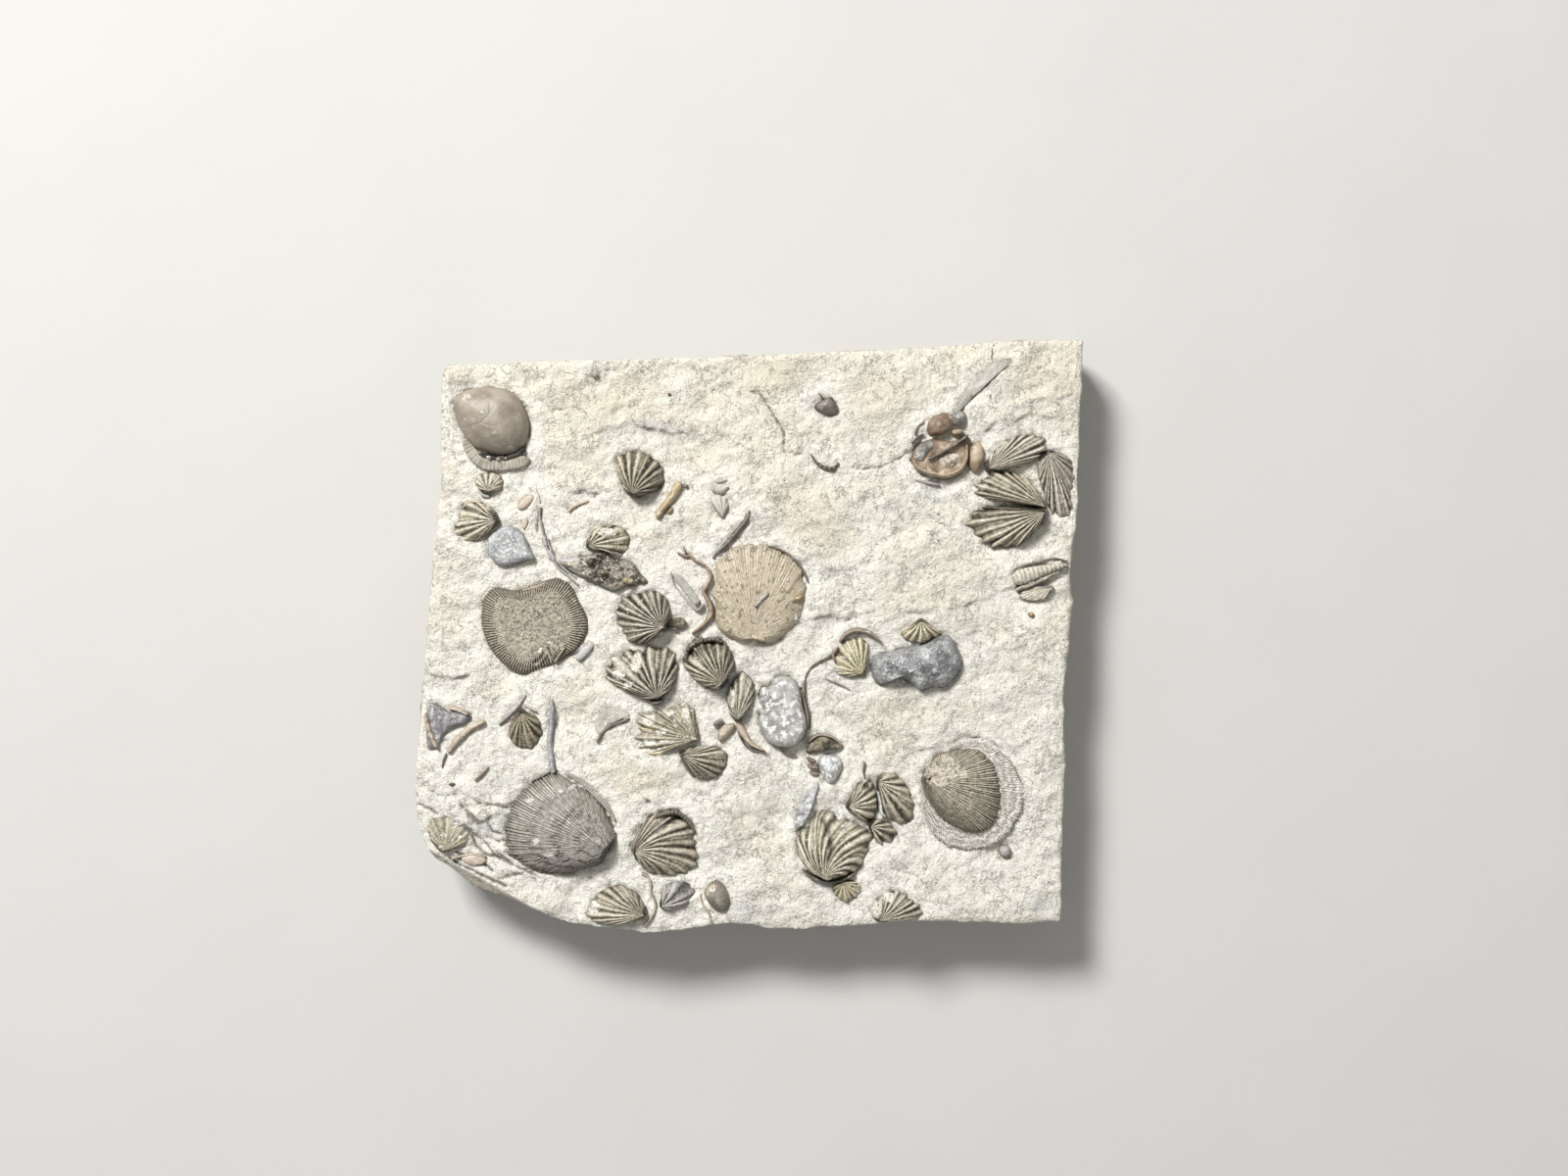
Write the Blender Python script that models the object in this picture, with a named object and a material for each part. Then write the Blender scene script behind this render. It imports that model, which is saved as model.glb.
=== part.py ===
"""Slab of shelly limestone with brachiopods and other small fossils standing out of its top face.

The slab lies flat with its fossil face up. The origin is the middle of its flat underside, +X is
the slab's right-hand edge and +Y its top edge. Tables are in millimetres, objects in metres.
"""
import math

import bmesh
import bpy
from mathutils import Vector

MM = 0.001

# --- The slab -------------------------------------------------------------------------------
SLAB_THICKNESS = 16.0        # mean height of the fossil face above the underside
FACE_SWELL = 0.5             # the face rises and falls this much each way
FACE_GRID = 9.0              # spacing of the facets that carry the swell
SLAB_SPAN = (122.0, 108.0)   # block that the outline is cut from
CORNER_BREAK_TILT = 62.0     # slope of the broken lower-left corner, degrees
CORNER_BREAK_EDGE = ((-54.9, -37.3), (-42.3, -44.4))   # where that slope meets the face

# Outline of the slab, clockwise from the top-left corner
SLAB_OUTLINE = [(-52.2, 46.9), (-26.2, 47.8), (-0.7, 48.5), (22.8, 49.5), (41, 50.7), (43.5, 51),
                (58.1, 51.3), (57.5, 36.6), (56.8, 20.1), (55.9, 11.9), (55.9, 3.2),
                (54.6, -12.4), (54.9, -23.3), (54.6, -30.8), (54.1, -49.8), (46.1, -50),
                (30.6, -49.6), (19.6, -50.2), (7.1, -51), (-3.1, -50), (-12.6, -51.3),
                (-21.1, -51.2), (-29.2, -50), (-34.9, -48.6), (-41.8, -45.6), (-47.9, -44),
                (-51.9, -40.5), (-54.9, -38.1), (-57.5, -32), (-57.8, -24.1), (-56.8, -11.6),
                (-55.6, 5.3), (-54.1, 20.9), (-53.4, 28.7), (-53.6, 34.5), (-53.4, 42.3),
                (-53, 45.6)]

# --- How a fossil sits in its pocket ---------------------------------------------------------
SEAT_DEPTH = 1.8             # a fossil's flat base lies this far below the face
SEAT_GAP = 0.3               # clearance between a fossil and its pocket, floor and walls
RIM_LIFT = 0.1               # a fossil's rim stands this far above the face
RIB_HEIGHT = 0.14            # rib crest above the mean surface, as a share of the valve's height
BEAK_BACK = 0.6              # the shell goes on this far behind the beak
NODULE_FACET = 3.0           # length of the facets round a nodule's rim
NODULE_SIDES = 9             # fewest facets round a nodule
RING_PITCH = 1.1             # spacing of the rings on a ringed cone

# Share of a valve's full height, from the rim in to the beak
VALVE_PROFILE = ((1.0, 0.0), (0.72, 0.72), (0.36, 1.0))
BEAK_SHARE = 0.8
# Share of the way from the centre to the rim at which a nodule's rings lie
NODULE_RINGS = (1.0, 0.78, 0.42)

# --- Colours, sRGB ---------------------------------------------------------------------------
LIMESTONE = "#E1DAC8"
CREAM = "#CDBFA6"
PALE_GREY = "#B4AEA8"
GREY = "#96938F"
VIOLET_GREY = "#8E8A92"
BLUE_GREY = "#83858D"
WARM_GREY = "#8A7F73"
TAN = "#A89678"
GOLD = "#A8925F"
OCHRE = "#A98F63"
OLIVE = "#80755C"
DARK_OLIVE = "#757061"
DARK_BROWN = "#5A5043"
NEAR_BLACK = "#47423C"
ROUGHNESS = 0.85

# --- Ribbed valves: name, colour, ribs, height, beak, margin from one side of the beak round
# --- to the other
VALVES = [
    ("small_fan_shell_nw", TAN, 8, 1.0, (-45.2, 25.3),
     [(-47.3, 25.3), (-47.6, 26.7), (-46.4, 27.4), (-44.4, 27.4), (-42.7, 27), (-42.7, 25.8),
      (-43.5, 24.8)]),
    ("ribbed_shell_w", TAN, 8, 1.2, (-44.2, 20.1),
     [(-44.9, 21.9), (-46.9, 23.1), (-49, 23.3), (-50, 21.4), (-50.5, 19.2), (-51.2, 17.7),
      (-48.3, 16.7), (-46.6, 17.5), (-44.9, 18.9)]),
    ("ribbed_shell_n", OLIVE, 11, 3.0, (-20.2, 24.5),
     [(-21.6, 25.2), (-22.6, 28.2), (-23, 30.8), (-21.6, 31.6), (-20.1, 32), (-18.2, 31.6),
      (-16.5, 30.6), (-15, 29.1), (-14.6, 27.4), (-15, 26.2), (-16.3, 25), (-18.4, 24.1)]),
    ("crusted_ribbed_shell", OLIVE, 6, 1.8, (-27.4, 16.5),
     [(-27.4, 17.9), (-26.5, 18.5), (-24.8, 18.9), (-22.6, 18.7), (-21.2, 17.7), (-20.7, 16.2),
      (-21.4, 14.8), (-23.6, 15), (-26.5, 15.3)]),
    ("ribbed_shell_centre", DARK_BROWN, 14, 3.2, (-14.8, 1.4),
     [(-13.8, 2.4), (-13.9, 5.1), (-14.8, 7.1), (-17, 7.8), (-19.4, 7.3), (-21.6, 6.8),
      (-22.4, 6), (-23, 4.4), (-22.8, 2.4), (-21.8, 0.5), (-20.6, -1), (-18.5, -1.5),
      (-15.8, 0.2)]),
    ("splayed_ribbed_shell", DARK_BROWN, 12, 2.6, (-15.8, -10.7),
     [(-17.7, -11.2), (-19.2, -10.5), (-21.9, -9.2), (-24.8, -7.5), (-24.7, -5.8),
      (-23.8, -4.4), (-21.9, -2.7), (-20.6, -2.4), (-18.2, -2.4), (-16.7, -2), (-14.8, -2),
      (-13.1, -2.7), (-12.6, -4.1), (-12.2, -5.6), (-12.8, -7.5), (-13.4, -9), (-14.5, -10.2)]),
    ("crested_ribbed_shell", DARK_BROWN, 10, 3.2, (-4.6, -8.2),
     [(-3.4, -7.1), (-2.7, -5.6), (-2.7, -3.9), (-3.6, -2), (-4.9, -0.7), (-7.7, -0.3),
      (-9.9, -0.9), (-10.4, -2.7), (-11.4, -3.9), (-11.2, -5.6), (-9.5, -7.5), (-7.1, -9),
      (-5.3, -9.4)]),
    ("oval_ribbed_shell", OLIVE, 9, 2.2, (-2, -13.9),
     [(-3.4, -13.4), (-3.7, -11.9), (-3.6, -10.2), (-2.7, -8.5), (-1.7, -7), (-0.5, -6.3),
      (0.5, -7.8), (0.9, -9.9), (0.3, -11.9), (-0.7, -13.6)]),
    ("low_gold_shell", GOLD, 10, 1.0, (-10, -17.3),
     [(-12.2, -18.4), (-16.3, -19.7), (-19, -18.7), (-19.6, -17), (-18.9, -15.1), (-19, -13.6),
      (-17, -13.3), (-14.8, -13.1), (-12.2, -12.2), (-10.2, -12.2), (-9.4, -14.1), (-9, -16.2)]),
    ("domed_ribbed_shell", OLIVE, 9, 2.6, (-11.4, -20.7),
     [(-10.9, -19.7), (-8.3, -19.2), (-5.8, -19.4), (-4.1, -20.4), (-3.9, -22.4), (-5.1, -24.3),
      (-7.8, -25), (-10.2, -24), (-11.6, -22.1)]),
    ("small_brown_shell", DARK_BROWN, 9, 1.6, (-39.3, -13.9),
     [(-38.2, -13.6), (-37.1, -14.3), (-36, -15.8), (-36.2, -17.7), (-37.7, -19.6),
      (-39.3, -19.4), (-41.1, -18.2), (-41.5, -16.8), (-41, -15), (-40.1, -13.8)]),
    ("cream_fan_shell", GOLD, 11, 1.2, (19.6, -6.5),
     [(17.7, -7.3), (15.3, -6.6), (14.6, -5.3), (15.1, -3.4), (15.6, -2.2), (16.3, -1.2),
      (17.7, -0.7), (19.4, -0.5), (20.7, -1.5), (20.6, -3.6), (20.4, -5.4)]),
    ("small_cream_fan_shell", GOLD, 8, 0.9, (29.8, 1.5),
     [(28.2, 1.7), (26.5, 0.5), (27, -0.7), (28.6, -0.9), (30.1, -0.3), (32, 0.7), (31.3, 1.9)]),
    ("ribbed_shell_ne", OLIVE, 9, 1.8, (42, 29.6),
     [(41.7, 30.6), (42.8, 31.8), (44.7, 33.3), (47.8, 34.7), (50.7, 34.3), (51.2, 33),
      (50.7, 31.5), (49.3, 30.3), (46.6, 29.4), (43.5, 28.9)]),
    ("two_lobed_shell_upper_valve", OLIVE, 8, 2.4, (50, 23.1),
     [(50, 25.2), (49.3, 26.2), (47.9, 27), (45.2, 27.7), (42.8, 27.7), (40.1, 26.5),
      (38.9, 25.2), (40.1, 24.1), (42.7, 23.6), (46.1, 23.3), (48.6, 22.8)]),
    ("two_lobed_shell_lower_valve", DARK_BROWN, 9, 2.8, (50, 20.9),
     [(47.8, 21.9), (43.5, 22.4), (40.3, 22.4), (38.6, 20.7), (38.1, 19), (39.3, 17.7),
      (40.8, 16.3), (43.2, 15.6), (45.9, 16), (48.6, 17.5), (50.2, 19.2)]),
    ("edge_ribbed_shell", DARK_BROWN, 9, 1.6, (52.5, 30.4),
     [(53.6, 30.6), (55.6, 29.6), (55.8, 26.9), (55.6, 23.5), (55.3, 20.7), (53.7, 20.7),
      (52.4, 22.3), (51.7, 24.7), (51, 27.2), (51.5, 29.6)]),
    ("faint_ribbed_shell_sw", TAN, 7, 0.8, (-53.6, -35.4),
     [(-54.6, -34.5), (-54.7, -32.8), (-53.4, -31.6), (-50.8, -32.8), (-49.1, -34),
      (-50, -35.9), (-51.7, -36.7), (-53.4, -36.6)]),
    ("ribbed_shell_s", OLIVE, 13, 3.0, (-19.7, -37.2),
     [(-20.6, -36.4), (-19, -33.7), (-17.5, -31.5), (-15.6, -30.6), (-13.9, -30.4),
      (-12.1, -30.6), (-10.7, -31.5), (-9.5, -33.2), (-9.2, -35.5), (-9, -38.8), (-9.5, -40.3),
      (-11.1, -41.1), (-13.1, -41.7), (-15.1, -41.7), (-17.5, -40.8), (-19.6, -38.9)]),
    ("gold_ribbed_shell_at_edge", GOLD, 7, 2.0, (-19.2, -47.9),
     [(-19.4, -46.4), (-20.1, -44.9), (-21.4, -43.9), (-23, -43.2), (-25.5, -44.5),
      (-27.9, -46.8), (-28.1, -48.3), (-26.2, -49.3), (-24.1, -49.6), (-21.1, -49.6)]),
    ("small_grey_ribbed_shell", GREY, 4, 1.2, (-14.1, -46.8),
     [(-15.1, -45.4), (-14.8, -43.9), (-13.1, -42.8), (-11.4, -43), (-9.9, -43.7),
      (-9.7, -44.7), (-10.4, -46.2), (-12.1, -47.4), (-13.6, -47.6)]),
    ("paired_shell_left_valve", OLIVE, 8, 1.8, (17.7, -29.4),
     [(17.9, -27.9), (19, -26.5), (20.6, -25.2), (21.4, -27), (21.8, -29.1), (21.6, -31.1),
      (20.4, -32.1), (18.5, -30.9)]),
    ("paired_shell_right_valve", OLIVE, 6, 1.8, (23.8, -26.9),
     [(22.6, -24.7), (24, -24.1), (25.2, -24.5), (26.2, -25.8), (27, -27.7), (27.7, -29.4),
      (28.2, -31.1), (27.5, -32.5), (25.7, -32.1), (23.8, -30.6), (22.8, -28.1)]),
    ("zigzag_shell_piece", DARK_BROWN, 4, 1.4, (22.3, -33.7),
     [(23, -32.1), (24.5, -33.2), (25.3, -34.3), (24.3, -35.4), (23.3, -36), (21.9, -34.9)]),
    ("big_gold_shell", GOLD, 12, 3.2, (12.8, -41.1),
     [(10, -40.3), (8.7, -37.4), (8.5, -34.3), (9, -33.8), (10.4, -33.7), (11.9, -31.3),
      (13.9, -30.6), (15.1, -31.5), (16.7, -32.1), (18.7, -33), (20.2, -34.2), (20.6, -35.7),
      (20.4, -38.2), (19.4, -40.3), (17.5, -41.5), (15, -42)]),
    ("small_gold_shell", GOLD, 6, 1.0, (16.8, -43.4),
     [(15.6, -43.4), (15.5, -45.1), (16.8, -46.1), (18.4, -45.1), (19, -43.5), (18, -42.8)]),
    ("bottom_edge_shell", GOLD, 7, 1.8, (22.3, -48.1),
     [(21.1, -47.3), (22.1, -45.7), (23.5, -44.7), (25.5, -44.5), (27.2, -45.7), (29.4, -47.3),
      (29.2, -48.6), (25.7, -48.8)]),
]

# --- Smooth valves, discs, nodules and chips: name, colour, height, summit, outline
NODULES = [
    ("smooth_shell_upper_valve", WARM_GREY, 4.2, (-43.9, 37.4),
     [(-51.2, 41), (-50.2, 42), (-48.3, 42.7), (-46.1, 43), (-42.3, 42.7), (-39.8, 41),
      (-38.4, 37.9), (-38.2, 35.2), (-39.1, 32.8), (-40.5, 31.5), (-43.2, 31.3), (-45.4, 31.8),
      (-47.4, 32.5), (-49.1, 34.2), (-50.2, 36.2), (-51, 38.8)]),
    ("speckled_nodule", BLUE_GREY, 1.6, (-41.8, 15.6),
     [(-43.4, 18.4), (-42, 19.2), (-40.5, 18.7), (-38.9, 17.2), (-38.1, 15.1), (-37.2, 13.4),
      (-38.6, 13.1), (-41.7, 12.1), (-43.5, 12.2), (-45.1, 13.8), (-45.7, 15.3), (-45.1, 17)]),
    ("dark_mineral_fragment", NEAR_BLACK, 1.8, (-24.8, 11.1),
     [(-33.2, 12.8), (-30.6, 13.3), (-28.4, 13.9), (-25.5, 14.3), (-23, 13.3), (-20.2, 12.6),
      (-18.9, 10.9), (-17.5, 9.2), (-19.2, 8.7), (-20.6, 8.8), (-23, 7.7), (-25.5, 8.5),
      (-27.7, 9.4), (-30.3, 10.7), (-31.8, 11.7)]),
    ("dark_disc_valve", DARK_OLIVE, 1.2, (-37.2, 1.4),
     [(-46.4, 4.2), (-45.9, 6.6), (-44.5, 8), (-43, 8.2), (-40.3, 7.8), (-37.9, 8.2),
      (-35.4, 9.5), (-32.8, 9.9), (-31.1, 8.8), (-29.8, 6.6), (-28.7, 4.6), (-27.9, 2.4),
      (-28.2, 0.5), (-29.4, -1.7), (-30.6, -3.1), (-33.8, -4.8), (-36.6, -5.8), (-38.9, -6.6),
      (-41, -6.1), (-42.8, -4.8), (-44.5, -2.9), (-45.7, -0.7), (-46.4, 2)]),
    ("edge_fragment", VIOLET_GREY, 1.2, (-52.9, -15.1),
     [(-55.8, -13.6), (-54.6, -11.9), (-52, -13.3), (-50.8, -12.8), (-48.3, -13.8),
      (-49, -15.1), (-51.2, -15.8), (-53, -17.3), (-53.7, -19), (-54.9, -19.6), (-55.8, -19)]),
    ("bean_nodule", PALE_GREY, 3.4, (6.1, -13.6),
     [(5.6, -7), (4.1, -7.7), (3.7, -9), (2.6, -9), (1.9, -10.2), (1.9, -11.6), (2.6, -12.6),
      (1.7, -14.3), (1.9, -16.3), (3.1, -18.2), (4.8, -19.2), (7, -19.4), (8.8, -18.5),
      (9.9, -16.7), (10, -14.6), (9.4, -12.2), (8.8, -9.2), (7.7, -7.5)]),
    ("bryozoan_lump", BLUE_GREY, 3.6, (29.9, -5.4),
     [(21.6, -3.6), (24.1, -2.9), (27.4, -2), (30.6, -1.5), (33.2, 0), (35, -0.3), (36.2, -2.6),
      (36.9, -4.8), (35.7, -7.1), (34, -8.8), (32, -8.8), (29.8, -9.5), (28.4, -8.5),
      (26.4, -7.3), (24.5, -7.7), (22.6, -8.5), (21.4, -7.1), (21.2, -5.3)]),
    ("brown_cap", DARK_BROWN, 1.4, (12.9, -19),
     [(9.9, -20.1), (10.9, -18.4), (12.6, -17.5), (14.5, -18), (16.2, -19.2), (15, -19.9),
      (12.2, -20.1), (10.7, -20.4)]),
    ("crystal_nodule", PALE_GREY, 1.8, (14.1, -23.1),
     [(12.2, -21.2), (13.9, -20.7), (15.5, -21.1), (16.2, -22.6), (15.1, -25), (13.9, -25.7),
      (12.4, -23.8)]),
    ("cream_disc", CREAM, 1.8, (2, 7.3),
     [(-5.6, 12.4), (-2.7, 15), (0.3, 15.8), (3.2, 15.5), (5.8, 14.3), (8.5, 12.2), (9.5, 9.7),
      (9.9, 8.2), (9.4, 5.6), (8.8, 3.1), (7.1, 0.9), (5.1, -0.9), (2.2, -1.4), (-2.2, -1),
      (-4.6, 0.5), (-5.8, 2.4), (-5.6, 5.3), (-6.3, 7.3), (-5.6, 9.7)]),
    ("dark_chip", DARK_BROWN, 1.3, (13.6, 39.8),
     [(11.4, 39.8), (13.3, 41.1), (14.5, 41.3), (15.5, 39.1), (14.5, 38.2), (12.2, 38.6)]),
    ("brown_oval", WARM_GREY, 1.2, (33.2, 36.4),
     [(30.9, 35.9), (31.6, 37.6), (33.2, 38.2), (35, 38.2), (35, 36.6), (34.3, 35.4),
      (32.8, 34.9), (31.5, 34.9)]),
    ("sectioned_shell", TAN, 1.6, (33.7, 30.6),
     [(28.4, 30.8), (29.2, 32.6), (31.5, 33.7), (35, 33.2), (37.6, 33.8), (37.9, 32.3),
      (37.7, 29.9), (36.9, 28.6), (33.7, 27.5), (30.6, 28.2), (28.9, 29.4)]),
    ("left_atrypid", WARM_GREY, 3.2, (-29.2, -33.5),
     [(-34, -24.3), (-37.4, -25.7), (-39.8, -28.1), (-41.1, -29.9), (-42, -32.1), (-42, -34.5),
      (-41.3, -37.7), (-38.6, -39.4), (-35.7, -40.5), (-32.8, -41), (-30.3, -40.6),
      (-27, -39.8), (-24.7, -38.2), (-23.1, -36.4), (-23.3, -34.5), (-24.7, -31.8),
      (-26.5, -28.9), (-27.9, -27.7), (-30.3, -26.2), (-32.3, -24.8)]),
    ("small_smooth_shell", OLIVE, 1.6, (-5.4, -45.2),
     [(-7.7, -44.5), (-6.5, -42.8), (-4.9, -42.8), (-3.9, -43.9), (-3.2, -45.9), (-4.2, -47.8),
      (-5.8, -47.6), (-7.1, -46.2)]),
    ("right_atrypid", WARM_GREY, 4.2, (37.6, -26.7),
     [(30.1, -24.8), (30.8, -23.1), (32.5, -21.4), (34.7, -20.6), (38.1, -19.9), (40.1, -20.6),
      (41.5, -21.9), (42.3, -24.1), (42.8, -26.2), (42.8, -28.6), (43.5, -30.4), (42, -33),
      (38.8, -34.2), (35.2, -32.6), (33, -31.3), (31.5, -28.9), (30.6, -26.5)]),
    ("round_bead", GREY, 1.0, (44.4, -37.4),
     [(45.4, -37.4), (45.1, -36.6), (44.4, -36.4), (43.7, -36.6), (43.4, -37.4), (43.7, -38.2),
      (44.4, -38.4), (45.1, -38.2)]),
]

# --- Long thin pieces: name, colour, height, centre line as (x, y, half width)
SLIVERS = [
    ("smooth_shell_lower_valve", TAN, 1.6,
     [(-49.3, 32.8, 0.4), (-48.1, 31.1, 0.7), (-46.6, 30.1, 0.8), (-44.4, 29.2, 0.8),
      (-42.2, 28.9, 0.7), (-39.6, 29.4, 0.7), (-38.1, 30.3, 0.4)]),
    ("tan_leaf", TAN, 0.8,
     [(-40, 21.8, 0.3), (-39.3, 22.6, 0.8), (-38.2, 23.5, 0.8), (-37.1, 24.3, 0.3)]),
    ("ochre_rod", OCHRE, 1.3,
     [(-11.9, 26.7, 0.8), (-12.8, 24.8, 0.8), (-13.8, 23.3, 0.7), (-15, 21.9, 0.6),
      (-16, 20.2, 0.4)]),
    ("grey_stick", GREY, 0.9,
     [(-5.8, 14.1, 0.4), (-3.7, 16, 0.4), (-2, 18, 0.5), (-0.7, 19.6, 0.5), (0.3, 21.1, 0.4)]),
    ("violet_chip", VIOLET_GREY, 0.9,
     [(-29.9, -4.4, 0.5), (-28.4, -2.7, 0.8), (-26.9, -1.2, 0.5)]),
    ("grey_rod", GREY, 0.9,
     [(-34, -12.2, 0.4), (-34.3, -15.5, 0.5), (-34.5, -18.5, 0.5), (-34.2, -21.9, 0.5),
      (-33.8, -24, 0.4)]),
    ("tan_sliver", TAN, 0.9,
     [(-45.7, -14.8, 0.3), (-48.5, -16.2, 0.5), (-50.8, -18.5, 0.5), (-52.2, -20.4, 0.3)]),
    ("scalloped_rim", DARK_BROWN, 1.1,
     [(-10.9, 14.1, 0.3), (-10, 12.6, 0.3), (-7.8, 11.9, 0.3), (-6.8, 10.2, 0.3),
      (-7.1, 8.3, 0.3), (-8, 7, 0.3), (-7, 5.1, 0.3), (-7.1, 3.2, 0.3), (-8.5, 1.9, 0.3),
      (-10.2, 0.5, 0.3)]),
    ("grey_capsule", VIOLET_GREY, 1.0,
     [(-12.8, 10.5, 0.6), (-11.6, 9.2, 0.7), (-10, 7.1, 0.7), (-8.7, 5.3, 0.6)]),
    ("curved_horn", OCHRE, 1.2,
     [(-1.4, -16.5, 0.5), (-0.5, -17.7, 0.6), (0.7, -18.9, 0.5), (2, -19.7, 0.3)]),
    ("ringed_cone", CREAM, 1.8,
     [(46.1, 9.7, 1.7), (48.6, 10.2, 1.6), (51, 10.7, 1.4), (53.2, 11.2, 1.2), (55.1, 11.7, 0.9)]),
    ("worm_tube", GREY, 0.7,
     [(-18.7, -41.1, 0.3), (-17.5, -41.8, 0.3), (-17, -43, 0.3), (-17, -44.5, 0.3),
      (-16.3, -45.9, 0.3), (-16.3, -47.4, 0.3), (-17, -49, 0.3)]),
    ("right_atrypid_frill", PALE_GREY, 1.6,
     [(42.5, -20.9, 0.7), (44.2, -22.6, 1), (45.2, -25, 1.4), (45.6, -27.9, 1.5),
      (45.7, -30.8, 1.4), (44.4, -33.7, 1.4), (41.7, -35.4, 1.2), (38.4, -35.7, 0.9),
      (35.4, -34.5, 1), (33.3, -33, 0.7)]),
    ("curved_stem", GREY, 0.6,
     [(-36.2, 22.4, 0.3), (-36.2, 19.6, 0.3), (-35.5, 17.5, 0.3), (-35.2, 15.3, 0.3),
      (-34.5, 13.4, 0.3), (-33.5, 11.6, 0.3), (-32.1, 10.5, 0.2)]),
]
RINGED = {"ringed_cone"}


def clear_scene():
    for item in list(bpy.data.objects):
        bpy.data.objects.remove(item, do_unlink=True)


def collection(name):
    group = bpy.data.collections.new(name)
    bpy.context.scene.collection.children.link(group)
    return group


def linear(hex_code):
    """Turn an sRGB hex colour into linear RGBA."""
    values = [int(hex_code[i:i + 2], 16) / 255 for i in (1, 3, 5)]
    return [v / 12.92 if v <= 0.04045 else ((v + 0.055) / 1.055) ** 2.4 for v in values] + [1.0]


def stone_material(name, hex_code):
    material = bpy.data.materials.new(name)
    material.use_nodes = True
    shader = material.node_tree.nodes["Principled BSDF"]
    shader.inputs["Base Color"].default_value = linear(hex_code)
    shader.inputs["Roughness"].default_value = ROUGHNESS
    shader.inputs["Metallic"].default_value = 0.0
    material.diffuse_color = linear(hex_code)
    return material


def face_height(x, y):
    """Height of the slab's face above its underside, a gentle swell."""
    swell = 0.6 * math.sin(x / 17 + 0.8) * math.cos(y / 21 - 0.5) + 0.4 * math.sin(y / 11 + x / 29)
    return SLAB_THICKNESS + FACE_SWELL * swell


def object_from(bm, name, group):
    bmesh.ops.recalc_face_normals(bm, faces=bm.faces)
    bmesh.ops.scale(bm, vec=(MM, MM, MM), verts=bm.verts)
    mesh = bpy.data.meshes.new(name)
    bm.to_mesh(mesh)
    bm.free()
    item = bpy.data.objects.new(name, mesh)
    group.objects.link(item)
    return item


def make_cutter(item):
    item.hide_render = True
    item.display_type = "WIRE"
    return item


def prism(name, outline, low, high, group):
    """Upright block of the given outline."""
    bm = bmesh.new()
    base = bm.faces.new([bm.verts.new((x, y, low)) for x, y in outline])
    lifted = bmesh.ops.extrude_face_region(bm, geom=[base])["geom"]
    top = [v for v in lifted if isinstance(v, bmesh.types.BMVert)]
    bmesh.ops.translate(bm, vec=(0, 0, high - low), verts=top)
    return object_from(bm, name, group)


def grown(outline, distance):
    """Outline with every side moved outwards by the distance."""
    points = [Vector(p[:2]) for p in outline]
    turning = sum(a.x * b.y - b.x * a.y for a, b in zip(points, points[1:] + points[:1]))
    side = 1 if turning > 0 else -1
    result = []
    for before, here, after in zip(points[-1:] + points[:-1], points, points[1:] + points[:1]):
        into = (here - before).normalized()
        out = (after - here).normalized()
        normal_in = Vector((into.y, -into.x)) * side
        normal_out = Vector((out.y, -out.x)) * side
        corner = (normal_in + normal_out).normalized()
        result.append(here + corner * distance / max(corner.dot(normal_out), 0.5))
    return result


def line_length(line):
    return sum(math.dist(a[:2], b[:2]) for a, b in zip(line, line[1:]))


def resample(line, count):
    """Points at equal steps along an open line."""
    points = [Vector(p) for p in line]
    lengths = [0.0]
    for a, b in zip(points, points[1:]):
        lengths.append(lengths[-1] + (b.xy - a.xy).length)
    result = []
    leg = 0
    for i in range(count):
        target = lengths[-1] * i / (count - 1)
        while leg < len(points) - 2 and lengths[leg + 1] < target:
            leg += 1
        share = (target - lengths[leg]) / (lengths[leg + 1] - lengths[leg])
        result.append(points[leg].lerp(points[leg + 1], share))
    return result


def loft(rings, summit=None):
    """Closed solid through rings of equal count, from the flat base up to the summit."""
    bm = bmesh.new()
    rows = [[bm.verts.new(p) for p in ring] for ring in rings]
    bm.faces.new(rows[0])
    for low, high in zip(rows, rows[1:]):
        for i, (a, b) in enumerate(zip(low, high)):
            j = (i + 1) % len(low)
            bm.faces.new((a, low[j], high[j], b))
    if summit is None:
        bm.faces.new(rows[-1])
        return bm
    peak = bm.verts.new(summit)
    for a, b in zip(rows[-1], rows[-1][1:] + rows[-1][:1]):
        bm.faces.new((a, b, peak))
    return bm


def seat_height(x, y):
    return face_height(x, y) - SEAT_DEPTH


def ribbed_valve(name, ribs, height, beak, margin, group):
    """Valve with ribs that fan from its beak, a crest and a groove for each rib."""
    beak = Vector(beak)
    front = resample(margin, 2 * ribs + 1)
    middle = sum(front, Vector((0, 0))) / len(front)
    back = beak + (beak - middle).normalized() * BEAK_BACK
    rim = front + [back]
    base = seat_height(*beak)
    rings = [[(p.x, p.y, base) for p in rim]]
    for reach, share in VALVE_PROFILE:
        ring = []
        for i, corner in enumerate(rim):
            p = beak.lerp(corner, reach)
            wave = 0 if corner is back else (1 if i % 2 else -1)
            rib = wave * RIB_HEIGHT * height * share
            ring.append((p.x, p.y, face_height(*p) + RIM_LIFT + height * share + rib))
        rings.append(ring)
    summit = (beak.x, beak.y, face_height(*beak) + RIM_LIFT + height * BEAK_SHARE)
    return object_from(loft(rings, summit), name, group), margin + [tuple(back)], base


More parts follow.
